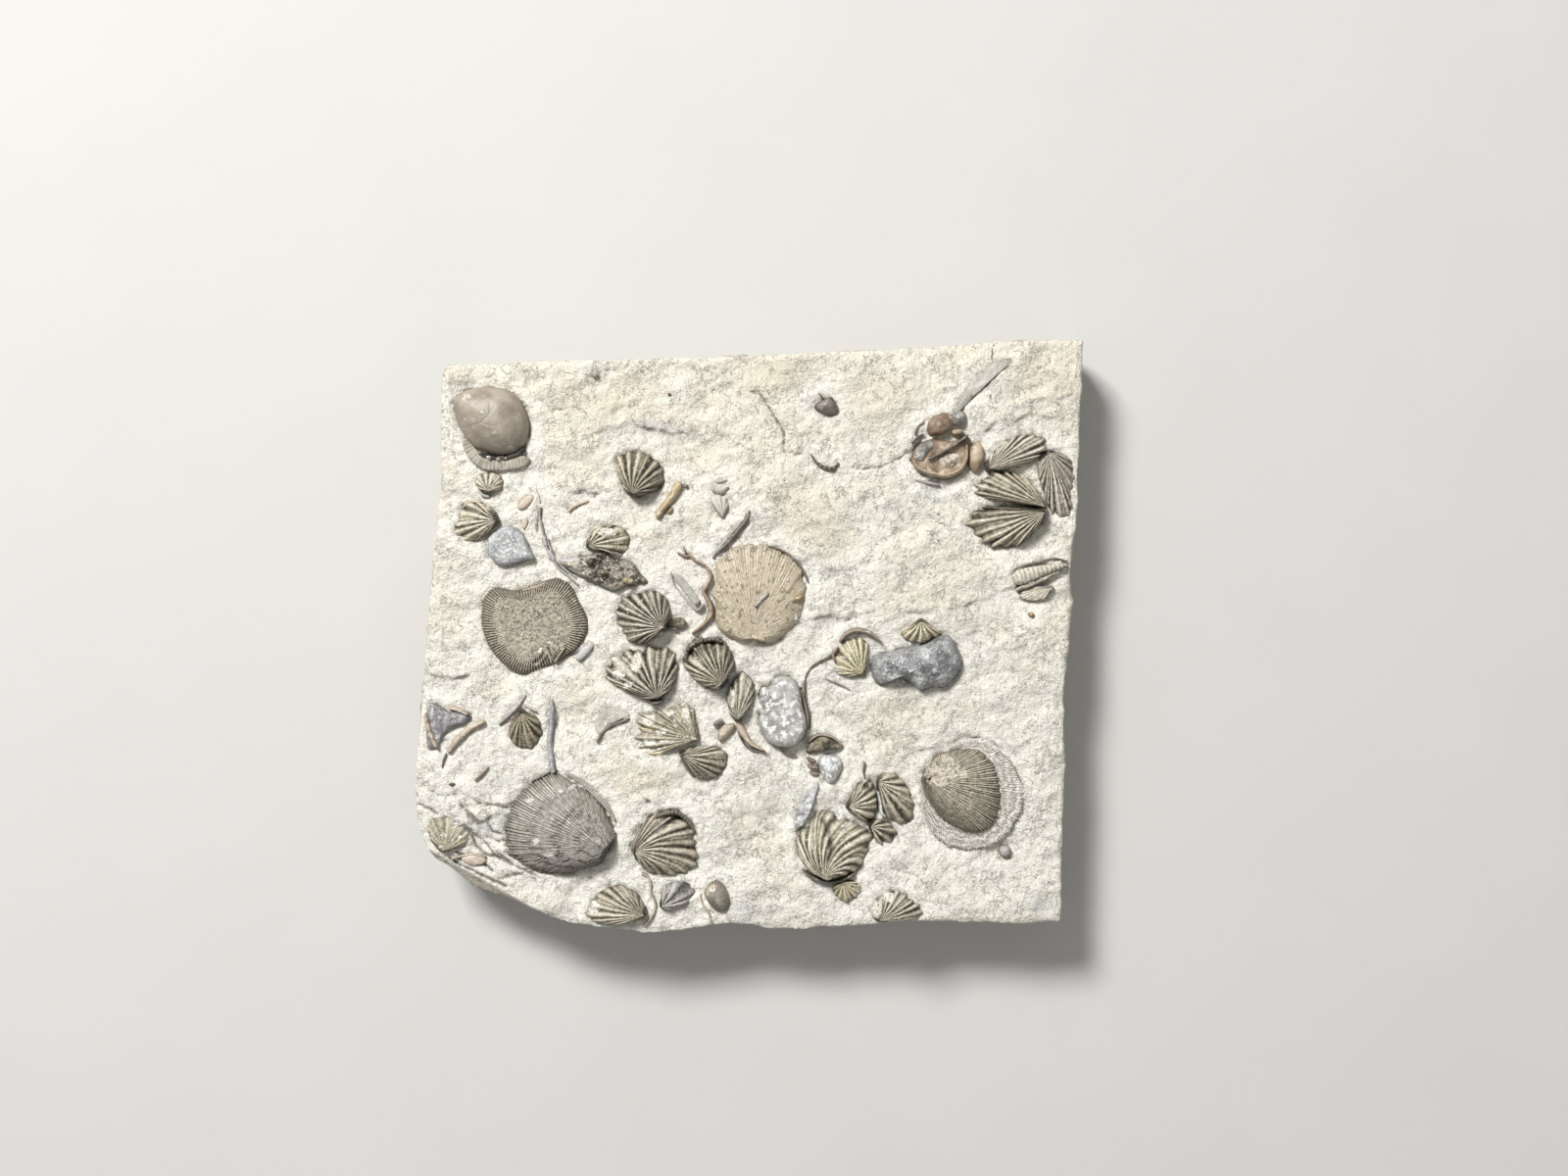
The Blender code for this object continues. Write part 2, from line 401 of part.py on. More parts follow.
def nodule(name, height, summit, outline, group):
    """Rounded lump, disc or smooth valve, highest at its summit."""
    centre = Vector(summit)
    closed = outline + outline[:1]
    sides = max(NODULE_SIDES, round(line_length(closed) / NODULE_FACET))
    rim = resample(closed, sides + 1)[:-1]
    base = seat_height(*centre)
    rings = [[(p.x, p.y, base) for p in rim]]
    for reach in NODULE_RINGS:
        ring = [centre.lerp(corner, reach) for corner in rim]
        lift = RIM_LIFT + height * math.sqrt(1 - reach * reach)
        rings.append([(p.x, p.y, face_height(*p) + lift) for p in ring])
    peak = (centre.x, centre.y, face_height(*centre) + RIM_LIFT + height)
    return object_from(loft(rings, peak), name, group), [tuple(p) for p in rim], base


def sliver(name, height, line, group):
    """Long piece with a low ridge along its centre line."""
    points = [Vector(p) for p in line]
    if name in RINGED:
        points = resample(line, 2 * round(line_length(line) / RING_PITCH) + 1)
    base = seat_height(*points[0].xy)
    sections = []
    for i, here in enumerate(points):
        along = (points[min(i + 1, len(points) - 1)].xy - points[max(i - 1, 0)].xy).normalized()
        across = Vector((-along.y, along.x)) * here.z
        left = here.xy + across
        right = here.xy - across
        ring_share = 0.85 if name in RINGED and i % 2 else 1.0
        edge = face_height(*here.xy) + RIM_LIFT
        sections.append([(left.x, left.y, base), (left.x, left.y, edge),
                         (here.x, here.y, edge + height * ring_share),
                         (right.x, right.y, edge), (right.x, right.y, base)])
    sides = [s[0][:2] for s in sections] + [s[-1][:2] for s in reversed(sections)]
    return object_from(loft(sections), name, group), sides, base


def slab_block(group):
    """Block with a swelling top, wider than the slab's outline."""
    bm = bmesh.new()
    columns, rows = (round(span / FACE_GRID) for span in SLAB_SPAN)
    bmesh.ops.create_grid(bm, x_segments=columns, y_segments=rows, size=0.5)
    bmesh.ops.scale(bm, vec=(*SLAB_SPAN, 1), verts=bm.verts)
    lifted = bmesh.ops.extrude_face_region(bm, geom=list(bm.faces))["geom"]
    for v in lifted:
        if isinstance(v, bmesh.types.BMVert):
            v.co.z = face_height(v.co.x, v.co.y)
    underside = [f for f in bm.faces if all(v.co.z == 0 for v in f.verts)]
    bmesh.ops.dissolve_faces(bm, faces=underside, use_verts=True)
    return object_from(bm, "matrix_slab", group)


def corner_wedge(group):
    """Block whose lower side is the slope of the broken corner."""
    start, end = (Vector(p) for p in CORNER_BREAK_EDGE)
    along = end - start
    bm = bmesh.new()
    bmesh.ops.create_cube(bm, size=40.0)
    bmesh.ops.translate(bm, vec=(0, -20, 20), verts=bm.verts)
    wedge = object_from(bm, "corner_break_cutter", group)
    wedge.location = (*((start + end) / 2 * MM), face_height(*start) * MM)
    wedge.rotation_euler = (math.radians(CORNER_BREAK_TILT), 0, math.atan2(along.y, along.x))
    return make_cutter(wedge)


def cut(item, name, operation, cutter=None, cutters=None):
    modifier = item.modifiers.new(name, "BOOLEAN")
    modifier.solver = "EXACT"
    modifier.operation = operation
    if cutters is None:
        modifier.object = cutter
    else:
        modifier.operand_type = "COLLECTION"
        modifier.collection = cutters


def build():
    clear_scene()
    parts = collection("fossil_slab")
    cutters = collection("slab_cutters")
    pockets = collection("pocket_cutters")

    slab = slab_block(parts)
    slab.data.materials.append(stone_material("matrix_slab", LIMESTONE))
    outline = make_cutter(prism("outline_cutter", SLAB_OUTLINE, -1, SLAB_THICKNESS + 4, cutters))
    cut(slab, "outline", "INTERSECT", cutter=outline)
    cut(slab, "broken corner", "DIFFERENCE", cutter=corner_wedge(cutters))

    fossils = []
    for name, colour, ribs, height, beak, margin in VALVES:
        fossils.append((colour, *ribbed_valve(name, ribs, height, beak, margin, parts)))
    for name, colour, height, summit, edge in NODULES:
        fossils.append((colour, *nodule(name, height, summit, edge, parts)))
    for name, colour, height, line in SLIVERS:
        fossils.append((colour, *sliver(name, height, line, parts)))

    for colour, fossil, edge, base in fossils:
        fossil.data.materials.append(stone_material(fossil.name, colour))
        make_cutter(prism(fossil.name + "_pocket", grown(edge, SEAT_GAP), base - SEAT_GAP,
                          SLAB_THICKNESS + 4, pockets))
    cut(slab, "pockets", "DIFFERENCE", cutters=pockets)


build()
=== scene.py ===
"""Looks of the limestone slab and its fossils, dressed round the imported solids.

Places are in millimetres on the slab's face, seen from above. Meshes are in metres.
"""

import math

import bmesh
import bpy
import numpy as np
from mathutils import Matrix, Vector, noise


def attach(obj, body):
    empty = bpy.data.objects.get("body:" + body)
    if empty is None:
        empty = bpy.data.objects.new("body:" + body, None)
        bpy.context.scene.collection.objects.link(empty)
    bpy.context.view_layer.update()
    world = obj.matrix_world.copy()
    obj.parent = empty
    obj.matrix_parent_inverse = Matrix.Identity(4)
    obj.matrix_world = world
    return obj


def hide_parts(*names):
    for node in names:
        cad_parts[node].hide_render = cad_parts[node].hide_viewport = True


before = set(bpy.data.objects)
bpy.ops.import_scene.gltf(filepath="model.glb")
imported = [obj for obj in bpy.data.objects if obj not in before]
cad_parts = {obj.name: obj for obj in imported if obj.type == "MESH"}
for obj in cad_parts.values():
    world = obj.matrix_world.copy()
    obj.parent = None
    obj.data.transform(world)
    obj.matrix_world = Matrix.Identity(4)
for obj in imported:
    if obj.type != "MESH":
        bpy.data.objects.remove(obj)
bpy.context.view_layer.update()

MM = 0.001

# --- The slab, as the solids have it ---
SLAB_THICKNESS = 16.0
FACE_SWELL = 0.5
SLAB_OUTLINE = [(-52.2, 46.9), (-26.2, 47.8), (-0.7, 48.5), (22.8, 49.5), (41, 50.7), (43.5, 51),
                (58.1, 51.3), (57.5, 36.6), (56.8, 20.1), (55.9, 11.9), (55.9, 3.2), (54.6, -12.4),
                (54.9, -23.3), (54.6, -30.8), (54.1, -49.8), (46.1, -50), (30.6, -49.6), (19.6, -50.2),
                (7.1, -51), (-3.1, -50), (-12.6, -51.3), (-21.1, -51.2), (-29.2, -50), (-34.9, -48.6),
                (-41.8, -45.6), (-47.9, -44), (-51.9, -40.5), (-54.9, -38.1), (-57.5, -32), (-57.8, -24.1),
                (-56.8, -11.6), (-55.6, 5.3), (-54.1, 20.9), (-53.4, 28.7), (-53.6, 34.5), (-53.4, 42.3),
                (-53, 45.6)]
# Places in the outline: top left, top right and bottom right corners, and the broken one
CORNERS = (0, 6, 14, 25)
BREAK_LINE = ((-57.5, -35.8), (-54.9, -37.3), (-42.3, -44.4), (-37.0, -47.4))
# The broken corner falls this far over this width, then on for each millimetre outwards
BREAK_DEPTH = 1.6
BREAK_WIDTH = 1.4
BREAK_SLOPE = 0.35

# --- Relief of the limestone ---
# Heights of the face's waves, lumps, grain, pits, folds and beds
WAVES, LUMPS, GRAIN, PITS, FOLDS, BEDS = 0.26, 0.3, 0.11, 0.14, 0.42, 0.17
EDGE_FALL = 0.5              # the face's edge is rounded off by this much
EDGE_WIDTH = 0.45
RAGGED = 0.24                # how far the outline strays from its curve
MOAT_WIDTH = 0.5             # groove that the tool left round a fossil
LAP_HEIGHT = 0.22            # rock that laps over a fossil's rim
LAP_WIDTH = 0.6
SIDE_BEDS = 0.9              # how far the beds of the broken sides stand out
SIDE_LUMPS = 0.7             # and their lumps
BED_LENGTH = 20.0
BED_THICKNESS = 3.0
LUMP_SIZE = 5.0
EVEN_LEVEL = 15.5            # the sides are even above this height
BROKEN_LEVEL = 12.5          # and fully broken under this one
SIDE_DRAW = 0.04             # each row of a side is drawn in by this much
# Fractal noise: how fast its octaves fade, and how much finer each one is than the last
NOISE_FADE = 0.9
NOISE_FINER = 2.1

# --- Fineness of the meshes ---
FACE_COLUMNS = 292           # facets of the face, about 0.4 mm each
FACE_ROWS = 256
SIDE_ROWS = 18
CURVE_STEPS = 14             # places worked out between two points of a line
RIB_STEPS = 12               # facets across one coarse rib
FINE_RIB_STEPS = 6           # facets across one fine rib
REACH_STEPS = 34             # facets from a shell's beak to its rim
LUMP_STEPS = 150             # facets round a lump
CRUMB_STEPS = 60             # facets round a crumb
ROD_COLUMNS = 25             # places round a rod; the last one closes it
ROD_STEP = 0.2               # length of a facet of a plain rod
RING_STEP = 0.09             # length of a facet of a ringed rod
WELD = 0.0000004             # places this close, in metres, are one
SLIVER = 0.000001            # edges this short, in metres, are dissolved

# --- How the fossils sit and grow ---
SKIRT = 1.3                  # fossils go on this far below the face
FACE_LIFT = 0.1              # and their rims stand this far above it
DEEPEST_CUT = 0.3            # no cut goes further below the face
BEAK_BACK = 0.6              # most shells go on this far behind their beak
VALVE_PEAK = 0.36            # and are highest at this share of the way to the rim
SPLITS = (0.58, 0.3)         # fine ribs split in two at these shares of the way to the rim
GROWTH_FALL = 0.07           # step down at a growth line
CHIP_DEPTH = 0.12            # small places chipped off a ribbed shell

# --- Camera and lights ---
CAMERA_SPOT = (6.1, 8.2)     # the camera looks straight down on this point of the face
VIEW_WIDTH = 272.0           # width of the view at the face
LENS = 50.0
SENSOR = 36.0
# Soft lights: place and width in metres, power in watts
KEY_LIGHT = ((-0.38, 0.58, 0.80), 0.26, 14.3)
FILL_LIGHT = ((0.6, -0.5, 0.9), 0.9, 1.5)
ROOM_COLOUR = "#F6F6F5"
ROOM_STRENGTH = 0.30
FLOOR_WIDTH = 3.0            # in metres


def srgb(hex_code):
    """Turn an sRGB hex colour into linear RGBA."""
    values = [int(hex_code[i:i + 2], 16) / 255 for i in (1, 3, 5)]
    return (*(v / 12.92 if v <= 0.04045 else ((v + 0.055) / 1.055) ** 2.4 for v in values), 1.0)


# --- Curves and distances on the face, in millimetres ---

def smooth(points, count, closed=False):
    """Even steps along a smooth curve through the points."""
    knots = np.array(points, float)
    if closed:
        knots = np.vstack([knots[-1:], knots, knots[:2]])
    else:
        knots = np.vstack([2 * knots[:1] - knots[1:2], knots, 2 * knots[-1:] - knots[-2:-1]])
    share = np.linspace(0, 1, CURVE_STEPS, endpoint=False)[:, None]
    curve = []
    for a, b, c, d in zip(knots, knots[1:], knots[2:], knots[3:]):
        curve.append(0.5 * (2 * b + (c - a) * share + (2 * a - 5 * b + 4 * c - d) * share ** 2
                            + (3 * b - a - 3 * c + d) * share ** 3))
    curve = np.vstack(curve + [knots[-2:-1]])
    steps = np.linalg.norm(np.diff(curve[:, :2], axis=0), axis=1)
    place = np.concatenate([[0], np.cumsum(steps)])
    wanted = np.linspace(0, place[-1], count)
    return np.column_stack([np.interp(wanted, place, column) for column in curve.T])


def line_distance(x, y, line):
    """Distance of each point from a line, its share of the way along, and its side: left is 1."""
    nearest = np.full(x.shape, 1e9)
    along = np.zeros(x.shape)
    side = np.zeros(x.shape)
    for i, (a, b) in enumerate(zip(line, line[1:])):
        run, rise = b[0] - a[0], b[1] - a[1]
        if not (run or rise):
            continue
        share = np.clip(((x - a[0]) * run + (y - a[1]) * rise) / (run * run + rise * rise), 0, 1)
        off_x = x - a[0] - share * run
        off_y = y - a[1] - share * rise
        gap = np.hypot(off_x, off_y)
        nearer = gap < nearest
        nearest = np.where(nearer, gap, nearest)
        along = np.where(nearer, (i + share) / (len(line) - 1), along)
        side = np.where(nearer, np.sign(run * off_y - rise * off_x), side)
    return nearest, along, side


def inside(x, y, outline):
    """Which points lie within a closed outline."""
    hits = np.zeros(x.shape, bool)
    for a, b in zip(outline, np.roll(outline, -1, axis=0)):
        crosses = (a[1] > y) != (b[1] > y)
        level = b[1] - a[1] if b[1] != a[1] else 1.0
        hits ^= crosses & (x < a[0] + (y - a[1]) / level * (b[0] - a[0]))
    return hits


def in_oval(x, y, centre, radii, turn):
    """How far out each point is in an oval whose rim is 1."""
    across, up = x - centre[0], y - centre[1]
    cos, sin = math.cos(math.radians(turn)), math.sin(math.radians(turn))
    return np.hypot((across * cos + up * sin) / radii[0], (up * cos - across * sin) / radii[1])


def soft_line(gap, width):
    """1 on a line, and next to nothing two widths away from it."""
    return np.exp(-(gap / width) ** 2)


def ease(value, low, high):
    """Smooth climb from 0 at the low value to 1 at the high one."""
    share = np.clip((value - low) / (high - low), 0, 1)
    return share * share * (3 - 2 * share)


def ends_fade(along, low, high):
    """Fades out towards both ends of a line."""
    return ease(np.minimum(along, 1 - along), low, high)


def ridge(phase):
    """Sharp crest halfway between whole numbers, sharp groove at each."""
    return 1 - np.abs(2 * (phase % 1) - 1)


def face_height(x, y):
    """Height of the face above the underside: the same gentle swell as the solids have."""
    swell = 0.6 * np.sin(x / 17 + 0.8) * np.cos(y / 21 - 0.5) + 0.4 * np.sin(y / 11 + x / 29)
    return SLAB_THICKNESS + FACE_SWELL * swell


def rough_at(x, y, size, octaves=4, seed=0.0):
    """Fractal noise of about -1 to 1. size is that of its largest features in millimetres, and
    each seed gives a pattern of its own."""
    spots = [Vector((a / size + seed, b / size, seed)) for a, b in zip(np.ravel(x), np.ravel(y))]
    return np.array([noise.fractal(spot, NOISE_FADE, NOISE_FINER, octaves)
                     for spot in spots]).reshape(np.shape(x))


# --- Meshes ---
# Every vertex carries four marks for its material: crest of a rib, way out to the rim, pale crust
# and painted shade. On the limestone they are painted shade with dirt, grey-blue with painted
# shade, rust and white.

CREST, OUT, CRUST, PAINTED_SHADE = range(4)
SHADE_AND_DIRT, GREY_AND_SHADE, RUST, WHITE = range(4)
HOLLOWS = []                 # outline and moat of each fossil, for the rock round it


def no_marks(x):
    return np.zeros((*x.shape, 4))


def shaped_grid(points, marks):
    """Grid moved to the given points, each vertex with its four marks."""
    rows, columns = points.shape[:2]
    bm = bmesh.new()
    bmesh.ops.create_grid(bm, x_segments=columns - 1, y_segments=rows - 1, size=0.5)
    layer = bm.verts.layers.float_color.new("marks")
    for v in bm.verts:
        row = round((v.co.y + 0.5) * (rows - 1))
        column = round((v.co.x + 0.5) * (columns - 1))
        v.co = points[row, column] * MM
        v[layer] = marks[row, column]
    return bm


def close_round(bm):
    """Weld the seam and the poles of a wrapped grid, and close what is left open."""
    bmesh.ops.remove_doubles(bm, verts=bm.verts, dist=WELD)
    bmesh.ops.dissolve_degenerate(bm, edges=bm.edges, dist=SLIVER)
    rim = [e for e in bm.edges if e.is_boundary]
    if rim:
        bmesh.ops.holes_fill(bm, edges=rim, sides=0)


def piece(bm, name, finish):
    """Finished piece that rides on the slab. It stands for the solid of the same name, if any."""
    bmesh.ops.recalc_face_normals(bm, faces=bm.faces)
    mesh = bpy.data.meshes.new(name)
    bm.to_mesh(mesh)
    bm.free()
    mesh.shade_smooth()
    material, colour_slot = FINISHES[finish]
    mesh.materials.append(material)
    item = bpy.data.objects.new(name + "_surface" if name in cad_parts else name, mesh)
    bpy.context.collection.objects.link(item)
    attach(item, "root")
    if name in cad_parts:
        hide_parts(name)
    return item


def scar(x, y, z, marks, cuts, crusts):
    """Cut lines into a fossil's surface, with painted shade in each cut, and mark where rock still sticks
    to it.
    """
    for depth, width, line in cuts:
        gap, along, _ = line_distance(x, y, line)
        cut = soft_line(gap, width) * ends_fade(along, -0.1, 0.15)
        z -= depth * cut
        # Painted shade in the cut, darker for deeper cuts
        marks[..., PAINTED_SHADE] = np.maximum(marks[..., PAINTED_SHADE], cut * min(1.0, 5 * max(depth, 0)))
    for centre, radii, turn in crusts:
        reach = in_oval(x, y, centre, radii, turn) + 0.25 * rough_at(x, y, 0.9, 3, 9.1)
        marks[..., CRUST] = np.maximum(marks[..., CRUST], 1 - ease(reach, 0.6, 1.05))


def dome(middle, ring, height, rise, detail, bend=0.0, cuts=(), crusts=(), moat=None,
         steps=REACH_STEPS):
    """Closed mesh from its middle out to its rim and down into the rock.

    rise gives its height at each share of the way out. detail gives what is added to it and the
    marks. bend curls the lines from the middle to the rim.
    """
    columns = len(ring)
    reach = np.concatenate([np.linspace(0, 1, steps) ** 0.85, [1.0, 1.0]])
    out = reach[:, None] * np.ones(columns)
    place = (np.arange(columns) + bend * columns * (1 - out)) % (columns - 1)
    x = middle[0] + out * (np.interp(place, np.arange(columns), ring[:, 0]) - middle[0])
    y = middle[1] + out * (np.interp(place, np.arange(columns), ring[:, 1]) - middle[1])
    face = face_height(x, y)
    relief, marks = detail(x, y, out)
    z = face + FACE_LIFT + height * rise(out) + relief
    scar(x, y, z, marks, cuts, crusts)
    z = np.maximum(z, face - DEEPEST_CUT)
    z[-2] = face[-2] - SKIRT * 0.5
    z[-1] = face[-1] - SKIRT
    z[:, -1] = z[:, 0]
    z[0, :] = z[0, :].mean()
    marks[:, -1] = marks[:, 0]
    bm = shaped_grid(np.stack([x, y, z], axis=-1), np.clip(marks, 0, 1))
    close_round(bm)
    HOLLOWS.append((ring[::3], 0.1 + 0.13 * height if moat is None else moat))
    return bm


def valve_rise(out):
    """A valve is a little lower at its beak, highest a third of the way out, down at its rim."""
    front = 1 - (np.clip(out - VALVE_PEAK, 0, 1) / (1 - VALVE_PEAK)) ** 2.2
    beak = 1 - 0.2 * (np.clip(VALVE_PEAK - out, 0, 1) / VALVE_PEAK) ** 2
    return np.where(out > VALVE_PEAK, front, beak)


def plump_rise(out):
    """High nearly to the rim, then steep."""
    return np.sqrt(np.clip(1 - out ** 3, 0, 1)) * (1 - 0.16 * (np.clip(0.3 - out, 0, 1) / 0.3) ** 2)


def lump_rise(out):
    """Half a ball."""
    return np.sqrt(np.clip(1 - out * out, 0, 1))


def disc_rise(out):
    """Nearly flat, a little dished, with a rounded rim."""
    return np.sqrt(np.clip(1 - out ** 7, 0, 1)) * (0.78 + 0.22 * out ** 2)


def frill_rise(out):
    """A frill slopes out from under the shell to a thin rim."""
    return (1 - 0.62 * ease(out, 0.45, 0.96)) * np.where(out > 0.985, 0.7, 1.0)


def seed_of(name):
    """Seed of a piece's own patterns."""
    return sum(map(ord, name)) * 0.37


def valve(name, finish, ribs, height, beak, margin, depth=0.34, fold=None, shade_side=0.0, fine=False,
          rough=0.05, lines=7, step=GROWTH_FALL, zigzag=0.03, sway=0.12, heel=BEAK_BACK,
          rise=valve_rise, **dressing):
    """Shell whose uneven ribs fan from its beak.

    depth is that of the grooves between the ribs, and rough that of its grain. fold is (where,
    width, fall): past that share of the front the shell steps down. shade_side paints shade over
    it towards the end of the front, or towards the start if negative; cuts, chipped places and
    deep growth steps get painted shade too. lines is the number of growth steps and step is their
    fall. zigzag and sway say how far the rim and the ribs stray, as shares of the reach and of a
    rib's width. heel is how far the shell goes on behind its beak.
    """
    front = smooth(margin, ribs * (FINE_RIB_STEPS if fine else RIB_STEPS) + 1)
    middle = np.array(beak, float)
    off = middle - front.mean(axis=0)
    back = middle + off / np.linalg.norm(off) * heel
    behind = smooth([front[-1], back, front[0]], max(8, len(front) // 10))[1:]
    share = np.concatenate([np.linspace(0, 1, len(front)), np.zeros(len(behind))])
    on_front = np.arange(len(share)) < len(front)
    seed = seed_of(name)
    spacing = 0.45 * rough_at(share * ribs * 0.45, share, 1.0, 2, seed) * np.sin(np.pi * share)

    def crests(phase):
        """Sharp crests with sharp grooves between them, each rib of its own height."""
        own = 0.88 + 0.22 * np.sin(np.floor(phase) * 2.4 + seed)
        return on_front * own * ridge(phase)

    ring = np.vstack([front, behind])
    ragged = zigzag * (crests(ribs * share + spacing) - 0.6)
    ragged += 0.03 * rough_at(ring[:, 0], ring[:, 1], 1.2, 3, seed)
    ring = middle + (ring - middle) * (1 + ragged)[:, None]
    ring[-1] = ring[0]

    def detail(x, y, out):
        phase = ribs * share + spacing + sway * rough_at(x, y, 2.4, 2, seed)
        crest = crests(phase)
        for split in SPLITS if fine else ():
            inner = ease(out, split + 0.07, split - 0.07)
            crest = crest * (1 - inner) + crests(phase * split * 0.9) * inner
        if not fine:
            # Some grooves hold a lower rib that starts half way out
            between = ridge(phase + 0.5) ** 2.2 * on_front
            held = ease(np.sin(np.floor(phase + 0.5) * 1.9 + seed), -0.1, 0.3)
            crest = np.maximum(crest, 0.6 * between * held * ease(out, 0.4, 0.7))
        grit = rough_at(x, y, 1.1, 3, seed)
        relief = depth * (crest - 0.55) * np.clip(out * 1.3, 0, 1) + rough * grit
        if fold:
            where, width, fall = fold
            past = ease(share, where - width, where + width) * on_front
            relief -= fall * past * np.clip(out * 1.6, 0, 1) * np.clip(4 * (1.05 - out), 0, 1)
        growth = ease((out * lines + 0.5 * grit) % 1, 0.7, 1.0)
        relief -= step * growth
        chipped = ease(rough_at(x, y, 0.9, 2, seed + 3), 0.5, 0.7)
        relief -= CHIP_DEPTH * chipped
        marks = no_marks(x)
        marks[..., CREST] = crest
        marks[..., OUT] = out
        # Painted shade: darker towards one end of the front, over chipped places and at deep growth steps
        toward_shade = (share if shade_side >= 0 else 1 - share) * on_front
        marks[..., PAINTED_SHADE] = np.maximum(abs(shade_side) * ease(toward_shade, 0.2, 1.0), 0.35 * chipped)
        marks[..., PAINTED_SHADE] += 2 * max(step - GROWTH_FALL, 0) * growth
        return relief, marks

    steps = REACH_STEPS * 3 // 2 if fine else REACH_STEPS
    return piece(dome(middle, ring, height, rise, detail, steps=steps, **dressing), name, finish)


def lump(name, finish, height, summit, outline, rough=0.12, grain=1.4, flat=False, fringe=None,
         facets=LUMP_STEPS, **dressing):
    """Rounded lump, chip or smooth valve.

    rough and grain are the depth and the size of its grain. fringe is (ribs, start, depth): fine
    ribs past that share of the way to its rim.
    """
    count, start, depth = fringe or (0, 1.0, 0.0)
    ring = smooth(outline, max(facets, count * FINE_RIB_STEPS) + 1, closed=True)
    crest = ridge(count * np.linspace(0, 1, len(ring)))
    fine, strength = (0.6, 0.12) if count else (2.2, 0.4)
    seed = seed_of(name)

    def detail(x, y, out):
        ribbed = ease(out + 0.06 * rough_at(x, y, 1.0, 2, seed), start, start + 0.12)
        grit = rough * rough_at(x, y, grain, 4, seed) * np.clip(3 * (1.03 - out), 0.15, 1)
        marks = no_marks(x)
        mottle = 0.46 + strength * rough_at(x, y, fine, 3, seed + 5)
        marks[..., CREST] = mottle * (1 - ribbed) + crest * ribbed if count else mottle
        marks[..., OUT] = out
        # Painted shade darkens the lump towards its rim
        marks[..., PAINTED_SHADE] = 0.3 * ease(out, 0.7, 1.0)
        return depth * (crest - 0.6) * ribbed + grit, marks

    rise = disc_rise if flat else lump_rise
    return piece(dome(np.array(summit, float), ring, height, rise, detail, **dressing),
                 name, finish)


def crumb(name, finish, height, summit, outline, **dressing):
    """Small lump of fewer facets."""
    return lump(name, finish, height, summit, outline, facets=CRUMB_STEPS, **dressing)


def rod(name, finish, height, line, rings=0, rough=0.05, ring_depth=0.14, flat=False, moat=0.15):
    """Long thin piece, half sunk, with round ends. Each point of its line is x, y, half width."""
    length = sum(math.dist(a[:2], b[:2]) for a, b in zip(line, line[1:]))
    rows = max(20, round(length / (RING_STEP if rings else ROD_STEP)))
    path = smooth(line, rows)
    ahead = np.gradient(path[:, :2], axis=0)
    ahead /= np.linalg.norm(ahead, axis=1)[:, None]
    share = np.linspace(0, 1, rows)
    end = np.clip(np.minimum(share, 1 - share) * length / path[:, 2].max(), 0, 1)
    taper = np.sqrt(np.clip(1 - (1 - end) ** 2, 0, 1))
    half = path[:, 2] * taper
    angle = np.linspace(0, 2 * math.pi, ROD_COLUMNS)
    across = np.cos(angle) * half[:, None]
    up = np.sin(angle) * np.ones((rows, 1))
    x = path[:, :1] - ahead[:, 1:] * across
    y = path[:, 1:2] + ahead[:, :1] * across
    wave = np.abs(np.sin(math.pi * rings * share)) if rings else np.full(rows, 0.6)
    grit = rough * rough_at(x, y, 0.9, 3, seed_of(name)) * taper[:, None]
    rise = (height + ring_depth * (wave[:, None] - 0.6)) * taper[:, None]
    over = np.clip(up, 0, 1) ** (0.35 if flat else 1.0) * (rise + grit)
    z = face_height(x, y) + FACE_LIFT * 0.5 + np.where(up > 0, over, up * SKIRT * taper[:, None])
    marks = no_marks(x)
    # Without rings the colour mark follows the height round the rod, so its top is painted lighter and its
    # sides painted in shade
    marks[..., CREST] = wave[:, None] if rings else np.clip(up, 0, 1)
    marks[..., OUT] = np.abs(np.cos(angle))
    points = np.stack([x, y, z], axis=-1)
    points[:, -1] = points[:, 0]
    bm = shaped_grid(points, marks)
    close_round(bm)
    sides = np.vstack([points[::3, 0, :2], points[::-3, ROD_COLUMNS // 2, :2]])
    HOLLOWS.append((sides, moat))
    return piece(bm, name, finish)


